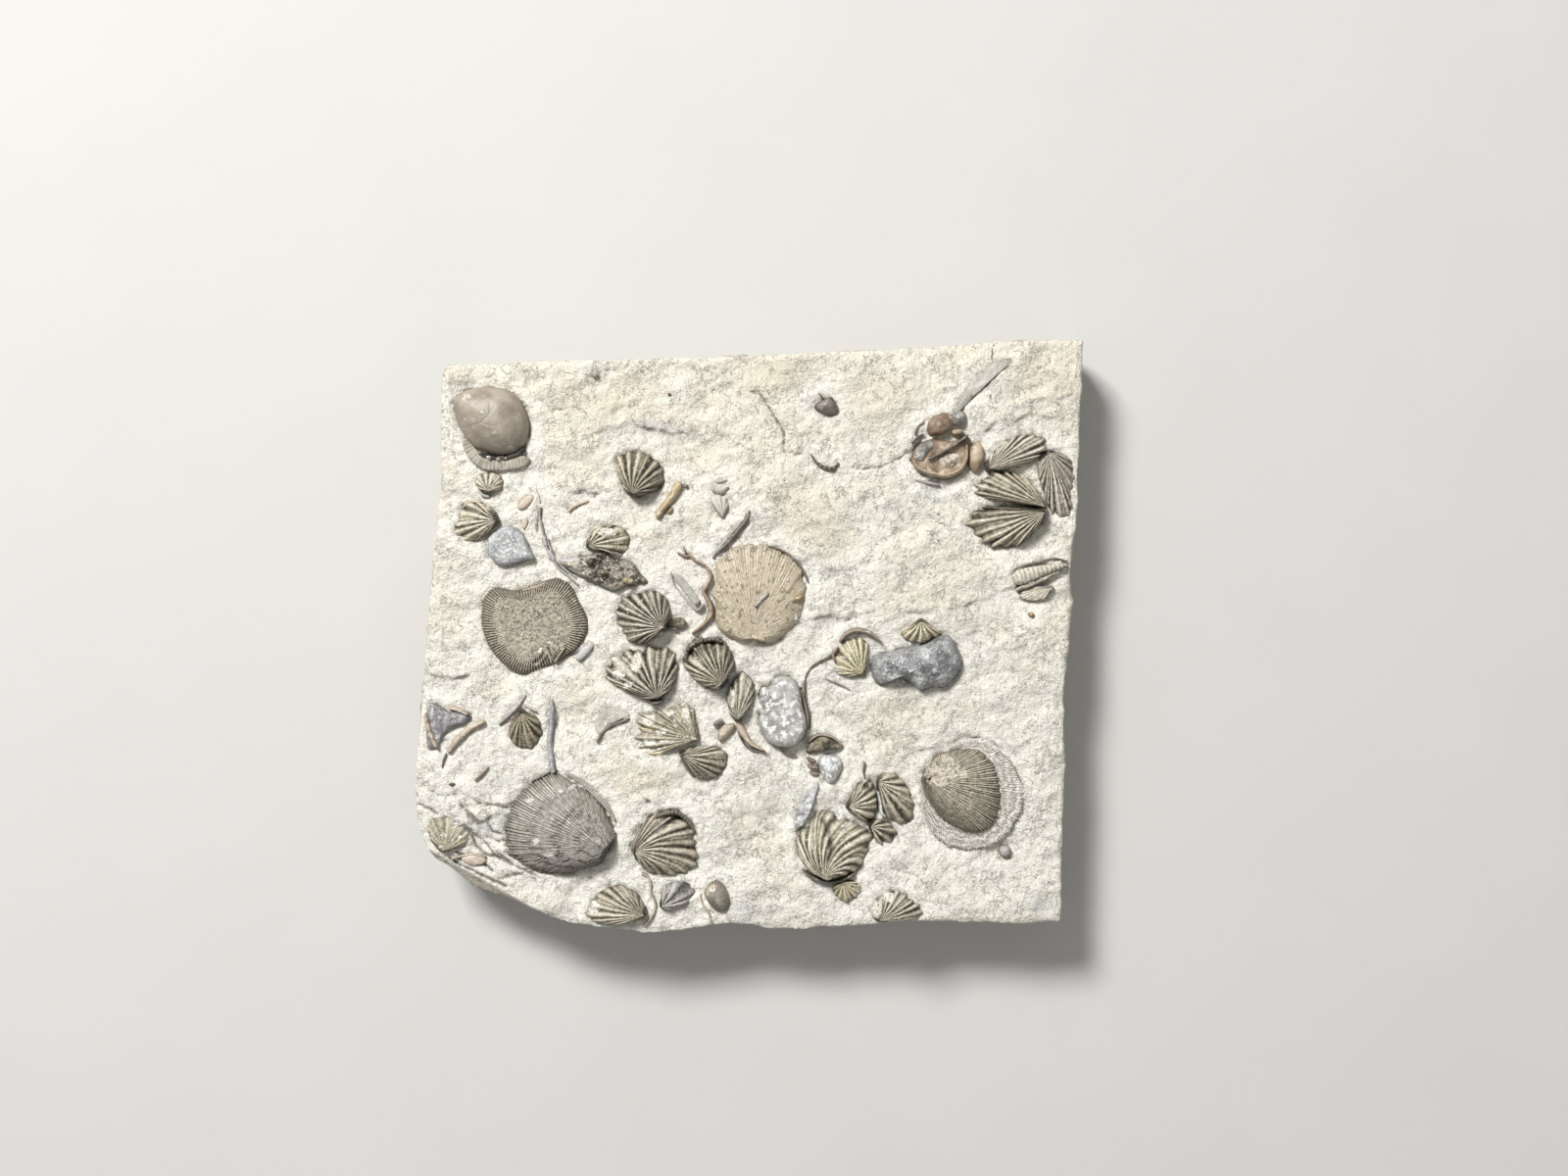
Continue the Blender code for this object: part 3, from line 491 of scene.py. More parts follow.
# --- Places of the face's relief ---
# Fall, width of the climb back up, line
LEDGES = [
    (0.6, 1.5, [(-50.2, -29.4), (-46.6, -29.2), (-44, -29.8), (-41.5, -29.8)]),
    (0.45, 2.0, [(-52.9, 43.5), (-50, 44), (-46.6, 44.5), (-44, 45.4)]),
    (0.7, 2.5, [(-26.2, 35.9), (-21.1, 36.6), (-16, 35.7), (-10.9, 35)]),
    (0.8, 2.0, [(-31.6, 24.7), (-29.2, 25.2), (-25.3, 24.1), (-24.1, 23.3)]),
    (0.75, 3.0, [(37.9, 34.3), (43.5, 37.1), (48.1, 37.7), (52.9, 37.7), (57.1, 37.4)]),
    (0.5, 2.0, [(45.2, 39.1), (48.1, 40.5), (53.2, 41.1), (57.1, 42.2)]),
    (0.75, 3.0, [(-0.7, -2.2), (3.1, -1.2), (7.1, 0.2), (9, 3.2), (14.6, 3.4), (20.4, 3.6), (22.8, 2.6)]),
    (0.85, 3.5, [(22.8, 2.6), (28.2, 3.9), (34.5, 4.8), (38.4, 5.8), (42.2, 7.1), (48.6, 9.2),
     (55.9, 11.2)]),
    (0.45, 1.5, [(3.6, 16.7), (6.8, 15), (9, 12.9), (10.2, 10.2)]),
    (0.35, 1.5, [(-42.7, 10.9), (-38.1, 11.1), (-34, 11.1)]),
    (0.6, 2.0, [(-56.8, -6.5), (-53.4, -7.1), (-48.3, -7.1)]),
    (0.75, 2.5, [(25.7, -19), (29.9, -19.9), (33.7, -18.5), (37.6, -17.3), (41.8, -18.2), (45.2, -19.9),
     (47.8, -22.4)]),
    (0.4, 2.0, [(-55.1, -32.3), (-50.8, -30.8), (-46.6, -32.6), (-42.3, -34.3)]),
    (0.45, 1.8, [(-54.2, -37.4), (-50, -38.1), (-44.9, -39.4), (-39.8, -41.7), (-34.7, -42.8)]),
    (0.35, 2.0, [(22.3, 28.9), (25.7, 30.4), (28.6, 32.6)]),
    (0.4, 2.5, [(-38.1, 43.5), (-34.7, 42.5), (-27.9, 40.1), (-21.1, 39.1)]),
    (0.35, 2.0, [(-44, 9.9), (-48.3, 8.5), (-55.1, 8.2)]),
    (0.4, 2.0, [(32.5, -8.8), (38.4, -9.7), (43.5, -10.9), (46.9, -12.6)]),
    (0.3, 2.0, [(-12.6, 35.4), (-7.5, 34.2), (-3.2, 35.4)]),
    (0.35, 2.0, [(40.1, -2), (45.2, -3.4), (50.3, -7.1), (53.4, -8.8)]),
    (0.35, 2.0, [(-31.3, -25.8), (-21.1, -29.2), (-16.3, -28.4)]),
    (0.3, 1.8, [(-10.9, -25.8), (-4.9, -27.9), (1, -30.9)]),
    (0.35, 2.0, [(-34.7, -43.7), (-27.9, -42), (-21.1, -42.5)]),
]

# Depth, width, line
CRACKS = [
    (0.9, 0.28, [(-48.3, -34), (-47.4, -36.6), (-45.9, -37.9), (-43, -38.6), (-40.8, -40)]),
    (0.8, 0.28, [(-50.2, -29.4), (-47.9, -31.5), (-46.8, -32.5), (-44, -31.5)]),
    (0.7, 0.28, [(-57.5, -29.2), (-55.4, -29.9), (-53.7, -31.3)]),
    (0.6, 0.25, [(-45.7, -34.9), (-43.5, -35.7), (-42.2, -35.5)]),
    (0.45, 0.25, [(-48.6, -27.9), (-46.2, -29.6), (-43.5, -29.2), (-41.5, -30.3)]),
    (0.5, 0.25, [(-45.4, -32.3), (-44.4, -34), (-42.5, -34.7)]),
    (0.45, 0.25, [(-51.3, -37.4), (-48.6, -38.8), (-46.2, -39.4), (-44.4, -40.8)]),
    (0.3, 0.25, [(-44, -42.3), (-41.5, -41.7), (-38.1, -41.1)]),
    (0.6, 0.3, [(-0.3, 42.3), (1.7, 42.3), (3.9, 38.9), (6, 35.4), (6.3, 31.8), (10.7, 31.5)]),
    (0.3, 0.25, [(16.8, 29.1), (22.8, 29.1), (25.7, 30.4), (28.2, 32.3)]),
    (-0.2, 0.35, [(23.1, 49), (25.7, 44.7), (28.2, 39.6)]),
    (-0.22, 0.5, [(-12.6, 32.3), (-7.5, 33.3), (-2, 30.3), (1, 25.2)]),
    (0.2, 0.4, [(36, 38.6), (39.1, 41.8), (42.5, 44.7), (45.6, 47.1)]),
    (0.14, 0.3, [(34.5, 38.2), (37.4, 41.3), (40.8, 44.2), (43.9, 46.2)]),
    (0.22, 0.25, [(-55.1, -7.1), (-51.7, -7.7), (-48.3, -7.1)]),
    (0.2, 0.2, [(-27.9, 44.5), (-25.8, 45.9), (-22.8, 46.2)]),
    (0.22, 0.3, [(-56.8, -25.8), (-53.4, -27.9), (-50, -27.2)]),
    (0.5, 0.25, [(-49.3, -33), (-46.2, -35.4), (-44.5, -37.4), (-42.8, -39.4)]),
    (0.6, 0.28, [(-52.5, -38.6), (-46.6, -41.5), (-41.5, -43.7)]),
    (0.5, 0.25, [(-44.2, -37.1), (-40.8, -39.8), (-36, -42)]),
    (0.22, 0.25, [(41.8, 3.1), (46.1, -0.3), (50.3, 0.5)]),
    (0.2, 0.22, [(1, -30.9), (6.1, -29.6), (8.2, -32.3)]),
    (0.22, 0.3, [(24, -40.3), (29.1, -41.7), (31.6, -44.5)]),
    (0.2, 0.2, [(0.2, 35.4), (1, 30.3), (4.4, 26.9)]),
    (0.22, 0.3, [(-34.7, 38.8), (-31.3, 39.6), (-27.9, 38.8)]),
    (0.25, 0.35, [(-35.9, 22.6), (-36.7, 20.1), (-36.7, 17)]),
    (0.2, 0.3, [(48.6, 21.8), (52.9, 17.5), (55.8, 16.7)]),
    (0.18, 0.25, [(-21.1, -22.4), (-20.2, -26.7), (-16.8, -29.2)]),
    (0.18, 0.2, [(-3.2, -36.9), (4.4, -37.7), (6.1, -41.1)]),
]

# Depth, centre, radii, turn in degrees
DENTS = [
    (0.45, (-24.5, 42.5), (10.2, 2.4), 10),
    (0.4, (-34.7, 40.1), (3.4, 1.7), -10),
    (0.35, (-27.9, 24.7), (3.7, 1.4), 0),
    (0.3, (-10.9, 17.5), (6, 2), -20),
    (0.4, (3.6, -45.4), (3.7, 2), 20),
    (0.35, (-4.9, -39.4), (4.4, 2), 0),
    (0.35, (-48.3, -37.7), (5.8, 3.1), -20),
    (-0.35, (-4.1, 28.6), (5.1, 3.7), 0),
    (-0.3, (48.6, 1.4), (5.1, 2.4), 20),
    (0.3, (36.7, -14.8), (2.4, 1.2), -20),
    (0.25, (33.3, 24.3), (3.1, 2), 0),
    (-0.25, (-0.7, 21.8), (6.8, 1.7), -30),
    (0.3, (-53, 24.3), (1.7, 2.7), 0),
    (-0.3, (-29.6, 32.8), (4.1, 2), 15),
    (0.25, (40.1, -42.8), (3.4, 3.1), 0),
    (-0.25, (23.1, -15.6), (5.1, 2), 0),
    (0.3, (50.3, 6.5), (3.4, 1.4), -15),
]

# Mark (0 painted shade and dirt, 1 grey-blue and painted shade, 2 rust, 3 white), strength, centre, radii,
# turn in degrees
STAINS = [
    (1, 0.5, (40.1, 42.8), (4.4, 1), 48),
    (0, 0.3, (38.4, 41.5), (2.4, 0.7), 48),
    # Painted shade, grey and dark, on the facet below the ledge near the top
    (1, 0.38, (-15, 35.9), (6.1, 1.4), -10),
    (0, 0.22, (-15, 36), (5.1, 0.9), -10),
    (1, 0.45, (-44, -32.6), (3.7, 2), 10),
    (0, 0.3, (-50.7, -33.7), (3.4, 2.7), 0),
    (1, 0.35, (-12.6, 43), (2.7, 1.7), 0),
    (1, 0.3, (-25.8, 46.9), (4.4, 1.4), 0),
    (1, 0.55, (33.3, 24.3), (3.7, 2), 0),
    (1, 0.45, (4.4, 17.5), (2, 4.1), 0),
    (1, 0.5, (1, -47.9), (5.1, 2.4), 0),
    (1, 0.5, (50.3, -46.2), (3.1, 2.7), 0),
    (1, 0.6, (9.5, -28.4), (4.4, 2), -55),
    (1, 0.45, (5.3, -25.8), (2.4, 1.7), 0),
    (1, 0.35, (24.8, 22.6), (2.4, 1.4), 0),
    (1, 0.35, (-19.4, 15), (3.1, 1.4), 0),
    (1, 0.35, (-42.3, -13.1), (3.4, 1.4), -45),
    (1, 0.35, (-41.5, 9.9), (4.4, 0.9), 0),
    (1, 0.4, (-44.9, -25.8), (4.1, 2.4), 30),
    (1, 0.4, (-48.3, -34.3), (5.1, 2.7), 20),
    (1, 0.35, (-12.6, 9.9), (1.7, 3.1), -40),
    (1, 0.35, (41, 43), (6.8, 1.5), -42),
    (1, 0.3, (-21.1, -30.9), (4.1, 1.4), -60),
    (1, 0.3, (51.2, -2), (2.4, 1.7), 0),
    (2, 0.3, (-24.5, 42.2), (11.9, 4.4), 0),
    (2, 0.35, (2.7, 45.6), (10.2, 4.1), 0),
    (2, 0.25, (23.1, 40.5), (8.5, 6.8), 0),
    (2, 0.3, (-48.3, 44.7), (4.4, 1.4), 0),
    (2, 0.25, (48.6, 44.7), (7.8, 4.4), 0),
    (2, 0.2, (11.2, 18.4), (10.2, 6.8), 0),
    (2, 0.3, (-12.6, 11.6), (4.1, 3.7), 0),
    (2, 0.2, (-29.6, -12.2), (6.8, 3.4), 0),
    (3, 0.45, (-10.9, -41.1), (8.5, 3.4), 0),
    (3, 0.4, (33.3, -39.4), (10.2, 5.1), 0),
    (3, 0.35, (-38.1, 28.6), (4.4, 3.1), 0),
    (3, 0.35, (46.9, 15), (5.1, 2.4), 0),
    # Painted shade in the dent beside the ledge at the upper left
    (0, 0.35, (-27.9, 24.7), (3.1, 0.9), 0),
    (0, 0.3, (-48.3, -32.6), (4.1, 2), 20),
    (0, 0.25, (40.1, 44.7), (6.1, 1), -42),
]


# --- The limestone ---

def slab_plan():
    """Places of the face's vertices: a grid stretched between the four sides of the outline."""
    loop = [*SLAB_OUTLINE, SLAB_OUTLINE[0]]
    top_left, top_right, bottom_right, bottom_left = CORNERS
    top = smooth(loop[top_left:top_right + 1], FACE_COLUMNS)
    right = smooth(loop[top_right:bottom_right + 1], FACE_ROWS)[::-1]
    bottom = smooth(loop[bottom_right:bottom_left + 1], FACE_COLUMNS)[::-1]
    left = smooth(loop[bottom_left:], FACE_ROWS)
    for side, axis in ((top, 1), (bottom, 1), (left, 0), (right, 0)):
        ragged = rough_at(side[:, 0], side[:, 1], 4.0, 5, 3.1 + axis)
        side[1:-1, axis] += RAGGED * ragged[1:-1]
    u = np.linspace(0, 1, FACE_COLUMNS)[None, :, None]
    v = np.linspace(0, 1, FACE_ROWS)[:, None, None]
    corners = ((1 - u) * (1 - v) * bottom[0] + u * (1 - v) * bottom[-1]
               + (1 - u) * v * top[0] + u * v * top[-1])
    plan = ((1 - v) * bottom[None] + v * top[None] + (1 - u) * left[:, None] + u * right[:, None]
            - corners)
    return plan[..., 0], plan[..., 1]


def near(x, y, points, margin):
    """Which places of the face lie round the given points."""
    spots = np.array([p[:2] for p in points])
    low, high = spots.min(axis=0) - margin, spots.max(axis=0) + margin
    return (x > low[0]) & (x < high[0]) & (y > low[1]) & (y < high[1])


def step_ledges(x, y, z, marks):
    """The face steps down to the right of each ledge and climbs back slowly. Painted shade darkens the foot
    of each step and greys its low side.
    """
    for fall, climb, line in LEDGES:
        area = near(x, y, line, climb * 2.5 + 1)
        wobble = 0.9 * rough_at(x[area], y[area], 3.5, 5, 1.7)
        gap, along, side = line_distance(x[area] + wobble, y[area] + wobble, line)
        fade = ends_fade(along, -0.02, 0.12)
        fade = fade * np.clip(0.7 + 0.7 * rough_at(x[area], y[area], 4.0, 2, 15.1), 0.1, 1.2)
        beyond = -gap * side
        drop = fall * np.exp(-np.clip(beyond, 0, None) / climb) * ease(beyond, -0.25, 0.35)
        z[area] -= drop * fade
        foot = soft_line(beyond - 0.15, 0.3)
        foot = foot * np.clip(0.6 + 1.3 * rough_at(x[area], y[area], 1.4, 3, 33.0), 0.05, 1.2)
        lee = soft_line(beyond, climb) * (beyond > 0)
        # Painted shade: dark at the foot of the step, grey over the low side
        marks[area, SHADE_AND_DIRT] += fade * foot * min(0.85, 1.3 * fall)
        marks[area, GREY_AND_SHADE] += 0.45 * fade * lee * min(1.0, 1.5 * fall)


def cut_cracks(x, y, z, marks):
    """Grooves with painted shade in them, or raised lines where the depth is negative."""
    for depth, width, line in CRACKS:
        area = near(x, y, line, width * 4 + 1)
        wobble = 0.35 * rough_at(x[area], y[area], 1.8, 3, 4.2)
        gap, along, _ = line_distance(x[area] + wobble, y[area] - wobble, line)
        bite = soft_line(gap, width) * ends_fade(along, -0.02, 0.1)
        z[area] -= depth * bite
        marks[area, SHADE_AND_DIRT] += 0.85 * bite * min(1.0, depth * 3.2) * (depth > 0)


def press_dents(x, y, z):
    """Shallow hollows, or swellings where the depth is negative."""
    for depth, centre, radii, turn in DENTS:
        z -= depth * (1 - ease(in_oval(x, y, centre, radii, turn), 0.4, 1.15))


def add_stains(x, y, marks):
    """Ragged patches of the four marks."""
    drift = 0.35 * rough_at(x, y, 4.0, 4, 12.3)
    for channel, strength, centre, radii, turn in STAINS:
        reach = in_oval(x, y, centre, radii, turn) + drift
        marks[..., channel] += strength * (1 - ease(reach, 0.35, 1.15))


def sink_hollows(x, y, z, marks):
    """Each fossil stands in a hollow, with a narrow moat that the tool left, painted shade along the
    moat and a pale halo. Here and there the rock laps over its rim."""
    for outline, moat in HOLLOWS:
        area = near(x, y, outline, 5.0)
        loop = np.vstack([outline, outline[:1]])
        gap, _, _ = line_distance(x[area], y[area], loop)
        within = inside(x[area], y[area], loop[:-1])
        outside = np.where(within, 0, gap)
        uneven = rough_at(x[area], y[area], 1.5, 3, 21.0)
        lap = ease(uneven, -0.1, 0.6)
        z[area] -= moat * (1 - 0.6 * lap) * soft_line(outside, MOAT_WIDTH)
        z[area] += LAP_HEIGHT * lap * soft_line(outside, LAP_WIDTH)
        z[area] -= np.where(within, ease(gap, 0.05 + 0.35 * lap, 0.7 + 0.5 * lap), 0)
        # Painted shade along the moat, less where rock laps over the rim
        marks[area, SHADE_AND_DIRT] += min(0.7, moat * 1.3) * (1 - lap) * soft_line(outside, 0.3)
        marks[area, WHITE] += 0.7 * ease(outside, 0.2, 0.8) * (1 - ease(outside, 1.2, 4.0))


def jut(spot):
    """How far a place on the broken sides stands out: thin beds, then lumps. Nothing at the rim."""
    layered = Vector((spot.x / BED_LENGTH, spot.y / BED_LENGTH, spot.z / BED_THICKNESS))
    beds = noise.fractal(layered, NOISE_FADE, NOISE_FINER, 3)
    lumps = noise.fractal(spot / LUMP_SIZE, NOISE_FADE, NOISE_FINER, 3)
    return (SIDE_BEDS * beds + SIDE_LUMPS * lumps) * float(ease(spot.z, EVEN_LEVEL, BROKEN_LEVEL))


def add_sides(bm):
    """Extrude the rim of the face down in ragged rows to the flat underside, and close that."""
    rim = [e for e in bm.edges if e.is_boundary]
    for row in range(SIDE_ROWS):
        made = bmesh.ops.extrude_edge_only(bm, edges=rim)["geom"]
        rim = [e for e in made if isinstance(e, bmesh.types.BMEdge) and e.is_boundary]
        left = SIDE_ROWS - row
        for v in made:
            if isinstance(v, bmesh.types.BMVert):
                above = jut(v.co / MM)
                v.co.z *= (left - 1) / left
                outward = Vector((v.co.x, v.co.y, 0)).normalized()
                v.co += outward * MM * (jut(v.co / MM) - above - SIDE_DRAW)
    bmesh.ops.holes_fill(bm, edges=rim, sides=0)


def roughen(x, y, z, marks):
    """Waves, lumps and grain, folds that run up to the right, and thin beds that end in steps."""
    fine = rough_at(x, y, 1.6, 5, 2.9)
    rugged = 0.4 + 0.9 * ease(rough_at(x, y, 13.0, 3, 40.0), -0.3, 0.5)
    z += WAVES * rough_at(x, y, 16.0, 3, 0.3) + rugged * LUMPS * rough_at(x, y, 5.0, 4, 8.8)
    z += rugged * (GRAIN * fine - PITS * np.abs(rough_at(x, y, 3.2, 4, 5.5)))
    z += FOLDS * rough_at(0.9 * x + 0.4 * y, 2.4 * (0.9 * y - 0.4 * x), 10.0, 4, 50.0)
    beds = 4.0 * rough_at(x, y, 11.0, 5, 31.0)
    z += rugged * BEDS * (np.floor(beds) + ease(beds % 1, 0.75, 1.0))
    # Painted shade in the low places of the fine relief
    marks[..., SHADE_AND_DIRT] += 0.25 * ease(-fine, 0.5, 1.1)


def break_corner(x, y, z, marks):
    """Round the face's edge off, and drop the broken corner to a rusty scar without scrapings."""
    edge, _, _ = line_distance(x, y, [*SLAB_OUTLINE, SLAB_OUTLINE[0]])
    z -= EDGE_FALL * np.exp(-edge / EDGE_WIDTH)
    gap, _, side = line_distance(x, y, BREAK_LINE)
    beyond = gap * (side < 0)
    fall = BREAK_DEPTH * (1 - np.exp(-beyond / BREAK_WIDTH)) + BREAK_SLOPE * beyond
    z -= fall * (1 + 0.2 * rough_at(x, y, 4.0, 3, 6.5))
    broken = ease(beyond, 0.1, 0.8)
    marks[..., WHITE] *= 1 - broken
    # Darker just past the break line, fading outwards over the broken corner
    marks[..., SHADE_AND_DIRT] = np.maximum(marks[..., SHADE_AND_DIRT], 0.8 * broken * np.exp(-beyond / BREAK_WIDTH))
    marks[..., RUST] += 0.5 * broken


def limestone_slab():
    """Face with its ledges, cracks, dents and hollows, broken sides and a flat underside."""
    x, y = slab_plan()
    z = face_height(x, y)
    marks = no_marks(x)
    roughen(x, y, z, marks)
    step_ledges(x, y, z, marks)
    cut_cracks(x, y, z, marks)
    press_dents(x, y, z)
    add_stains(x, y, marks)
    sink_hollows(x, y, z, marks)
    break_corner(x, y, z, marks)
    bm = shaped_grid(np.stack([x, y, z], axis=-1), np.clip(marks, 0, 1))
    add_sides(bm)
    return piece(bm, "matrix_slab", "limestone")


# --- Materials ---
CALCITE_IOR = 1.6
GRAIN_SIZE = 0.34            # real grains are under 0.1 mm, and none of them would show
GRAIN_CONTRAST = 0.13
STUCK_ROCK = "#E4DFD3"
FLAKE_BEDS = 16              # steps of the fine flakes over the range of their noise


def add(tree, kind, sockets=(), out=None, **settings):
    """Add a node with its settings. Its sockets take values, or the outputs that feed them, by
    name or in the order that they show. Gives back the output of this name, or the first."""
    node = tree.nodes.new("ShaderNode" + kind)
    for setting, value in settings.items():
        setattr(node, setting, value)
    if isinstance(sockets, dict):
        feeds = [(node.inputs[label], value) for label, value in sockets.items()]
    else:
        feeds = zip([socket for socket in node.inputs if socket.enabled], sockets)
    for socket, value in feeds:
        if isinstance(value, bpy.types.NodeSocket):
            tree.links.new(value, socket)
        else:
            socket.default_value = value
    outputs = [socket for socket in node.outputs if socket.enabled and out in (None, socket.name)]
    return outputs[0] if outputs else None


def per_mm(size):
    """Scale of a pattern whose features have this size in millimetres."""
    return 1 / (size * MM)


def new_material(name):
    """Material without any nodes, and its tree."""
    material = bpy.data.materials.new(name)
    material.use_nodes = True
    material.node_tree.nodes.clear()
    return material, material.node_tree


def marks_of(tree):
    """Object coordinates, then the four marks that every vertex carries."""
    place = add(tree, "TexCoord", out="Object")
    marks = add(tree, "Attribute", out="Color", attribute_name="marks")
    colours = add(tree, "SeparateColor", [marks]).node.outputs
    return place, [*colours, marks.node.outputs["Alpha"]]


def surface(tree, place, colour, rough, relief, depth, contrast):
    """Shader with fine grain in its colour and in its relief, whose depth is in millimetres."""
    grain = add(tree, "TexNoise", [place, per_mm(GRAIN_SIZE)])
    shade = add(tree, "MapRange", [grain, 0.3, 0.7, 1 - contrast, 1 + contrast])
    colour = add(tree, "Mix", [1.0, colour, shade], data_type="RGBA", blend_type="MULTIPLY")
    height = add(tree, "Math", [grain, 0.35, relief], operation="MULTIPLY_ADD")
    normal = add(tree, "Bump", {"Strength": 0.9, "Distance": depth * MM, "Height": height})
    shader = add(tree, "BsdfPrincipled", {"Base Color": colour, "Roughness": rough,
                                          "IOR": CALCITE_IOR, "Normal": normal})
    add(tree, "OutputMaterial", {"Surface": shader})


def shade_and_crumbs(tree, place, marks, colour, shade_colour, crust, chalk):
    """Painted shade in a fossil's shaded places and round its rim, in the colour of its grooves, then
    crumbs of rock stuck to it.
    """
    patchy = add(tree, "TexNoise", [place, per_mm(1.7), 4.0, 0.6])
    wisps = add(tree, "TexNoise", [place, per_mm(0.6), 5.0, 0.7])
    crumbs = add(tree, "TexNoise", [place, per_mm(0.9), 5.0, 0.65])
    held = add(tree, "MapRange", [patchy, 0.3, 0.6, 0.6, 0.97])
    # Painted shade where the vertices carry the shade mark, broken up in patches
    dark = add(tree, "Math", [marks[PAINTED_SHADE], held], operation="MULTIPLY")
    colour = add(tree, "Mix", [dark, colour, shade_colour], data_type="RGBA")
    # Painted shade round the rim, where the fossil meets the rock
    rim = add(tree, "MapRange", [marks[OUT], 0.92, 1.0, 0.0, 0.55])
    colour = add(tree, "Mix", [rim, colour, shade_colour], data_type="RGBA")
    ragged = add(tree, "MapRange", [wisps, 0.3, 0.7, -0.5, 0.5])
    stuck = add(tree, "Math", [marks[CRUST], 0.7, ragged], operation="MULTIPLY_ADD")
    stuck = add(tree, "MapRange", [stuck, 0.38, 0.62])
    chance = 0.72 - 0.3 * crust
    loose = add(tree, "MapRange", [crumbs, chance, chance + 0.05])
    rock = add(tree, "Math", [stuck, loose], operation="MAXIMUM")
    cover = add(tree, "Math", [rock, 0.85], operation="MULTIPLY")
    return add(tree, "Mix", [cover, colour, chalk], data_type="RGBA"), rock


def brushed_calcite(name, crest, groove, stain, crust, chalk=STUCK_ROCK, growth=1.0,
                    stain_share=0.4, contrast=GRAIN_CONTRAST, worn=0.2, grain=0.7):
    """Calcite shell, freed with a needle and brushed clean: the crests of its ribs are pale, partly worn
    and partly a painted highlight, the grooves between them are nearly black, partly clay and partly
    painted shade, and a wax-like sheen shows on the crests. Growth lines cross the ribs, stains are
    patchy and crumbs of rock still stick. crust and chalk are the share and colour of those crumbs,
    and grain is the size of the worn places in millimetres."""
    material, tree = new_material(name)
    place, marks = marks_of(tree)
    wear = add(tree, "TexNoise", [place, per_mm(grain), 4.0, 0.6])
    cloud = add(tree, "TexNoise", [place, per_mm(2.8), 4.0, 0.55])
    drift = add(tree, "TexNoise", [place, per_mm(1.6), 3.0, 0.55])
    rubbed = add(tree, "MapRange", [wear, 0.25, 0.75, -worn, worn])
    height = add(tree, "Math", [marks[CREST], rubbed], operation="ADD")
    # Colour by rib height: dark grooves and pale crests, partly the shell's own colour and partly painted
    # shade and highlight
    low = add(tree, "MapRange", [height, 0.10, 0.40])
    high = add(tree, "MapRange", [height, 0.30, 0.68])
    colour = add(tree, "Mix", [low, srgb(groove), srgb(stain)], data_type="RGBA")
    colour = add(tree, "Mix", [high, colour, srgb(crest)], data_type="RGBA")
    patch = add(tree, "MapRange", [cloud, 0.44, 0.62, 0.0, stain_share])
    colour = add(tree, "Mix", [patch, colour, srgb(stain)], data_type="RGBA")
    phase = add(tree, "MapRange", [drift, 0.0, 1.0, 0.0, 22.0])
    phase = add(tree, "Math", [marks[OUT], 70.0, phase], operation="MULTIPLY_ADD")
    bands = add(tree, "Math", [phase], operation="SINE")
    lines = add(tree, "MapRange", [bands, -1.0, 1.0, 1 - 0.14 * growth, 1 + 0.08 * growth])
    colour = add(tree, "Mix", [1.0, colour, lines], data_type="RGBA", blend_type="MULTIPLY")
    colour, rock = shade_and_crumbs(tree, place, marks, colour, srgb(groove), crust, srgb(chalk))
    relief = add(tree, "Math", [bands, 0.2 * growth, wear], operation="MULTIPLY_ADD")
    relief = add(tree, "Math", [rock, 0.8, relief], operation="MULTIPLY_ADD")
    rough = add(tree, "MapRange", [wear, 0.3, 0.7, 0.40, 0.62])
    surface(tree, place, colour, rough, relief, 0.12, contrast)
    return material


def calcite(name, base, deep, pale, fleck, share=0.4, crust=0.3, rough=0.5, pores=0.0, depth=0.12,
            chalk=STUCK_ROCK, contrast=GRAIN_CONTRAST):
    """Smooth, grainy or crystalline piece: shades of one mineral, flecks of a paler one, and
    pores. fleck and pores are sizes in millimetres, share is how much of it is pale."""
    material, tree = new_material(name)
    place, marks = marks_of(tree)
    cloud = add(tree, "TexNoise", [place, per_mm(2.6), 4.0, 0.55])
    specks = add(tree, "TexNoise", [place, per_mm(fleck), 3.0, 0.6])
    # Higher marks give a lighter colour: on plain rods this paints light along the top and shade down the
    # sides
    raised = add(tree, "MapRange", [marks[CREST], 0.0, 1.0, -0.18, 0.18])
    shade = add(tree, "Math", [cloud, raised], operation="ADD")
    shade = add(tree, "MapRange", [shade, 0.36, 0.62])
    colour = add(tree, "Mix", [shade, srgb(deep), srgb(base)], data_type="RGBA")
    edge = 0.68 - 0.3 * share
    flecks = add(tree, "MapRange", [specks, edge, edge + 0.08, 0.0, 0.8])
    colour = add(tree, "Mix", [flecks, colour, srgb(pale)], data_type="RGBA")
    relief = specks
    if pores:
        cells = add(tree, "TexVoronoi", {"Vector": place, "Scale": per_mm(pores)}, out="Distance")
        walls = add(tree, "MapRange", [cells, 0.12, 0.34])
        holes = add(tree, "MapRange", [walls, 0.0, 1.0, 0.55, 0.0])
        colour = add(tree, "Mix", [holes, colour, srgb(deep)], data_type="RGBA")
        relief = add(tree, "Math", [specks, walls], operation="ADD")
    colour, rock = shade_and_crumbs(tree, place, marks, colour, srgb(deep), crust, srgb(chalk))
    relief = add(tree, "Math", [rock, 0.8, relief], operation="MULTIPLY_ADD")
    dull = add(tree, "MapRange", [cloud, 0.3, 0.7, rough - 0.1, rough + 0.12])
    surface(tree, place, colour, dull, relief, depth, contrast)
    return material


def creases(tree, place, size, width):
    """Lines, in patches, where a noise of this size crosses its middle value."""
    field = add(tree, "TexNoise", [place, per_mm(size), 5.0, 0.62])
    off = add(tree, "Math", [field, 0.5], operation="SUBTRACT")
    off = add(tree, "Math", [off], operation="ABSOLUTE")
    line = add(tree, "MapRange", [off, 0.0, width, 1.0, 0.0])
    where = add(tree, "TexNoise", [place, per_mm(1.4 * size), 3.0, 0.6])
    where = add(tree, "MapRange", [where, 0.50, 0.60])
    return add(tree, "Math", [line, where], operation="MULTIPLY")


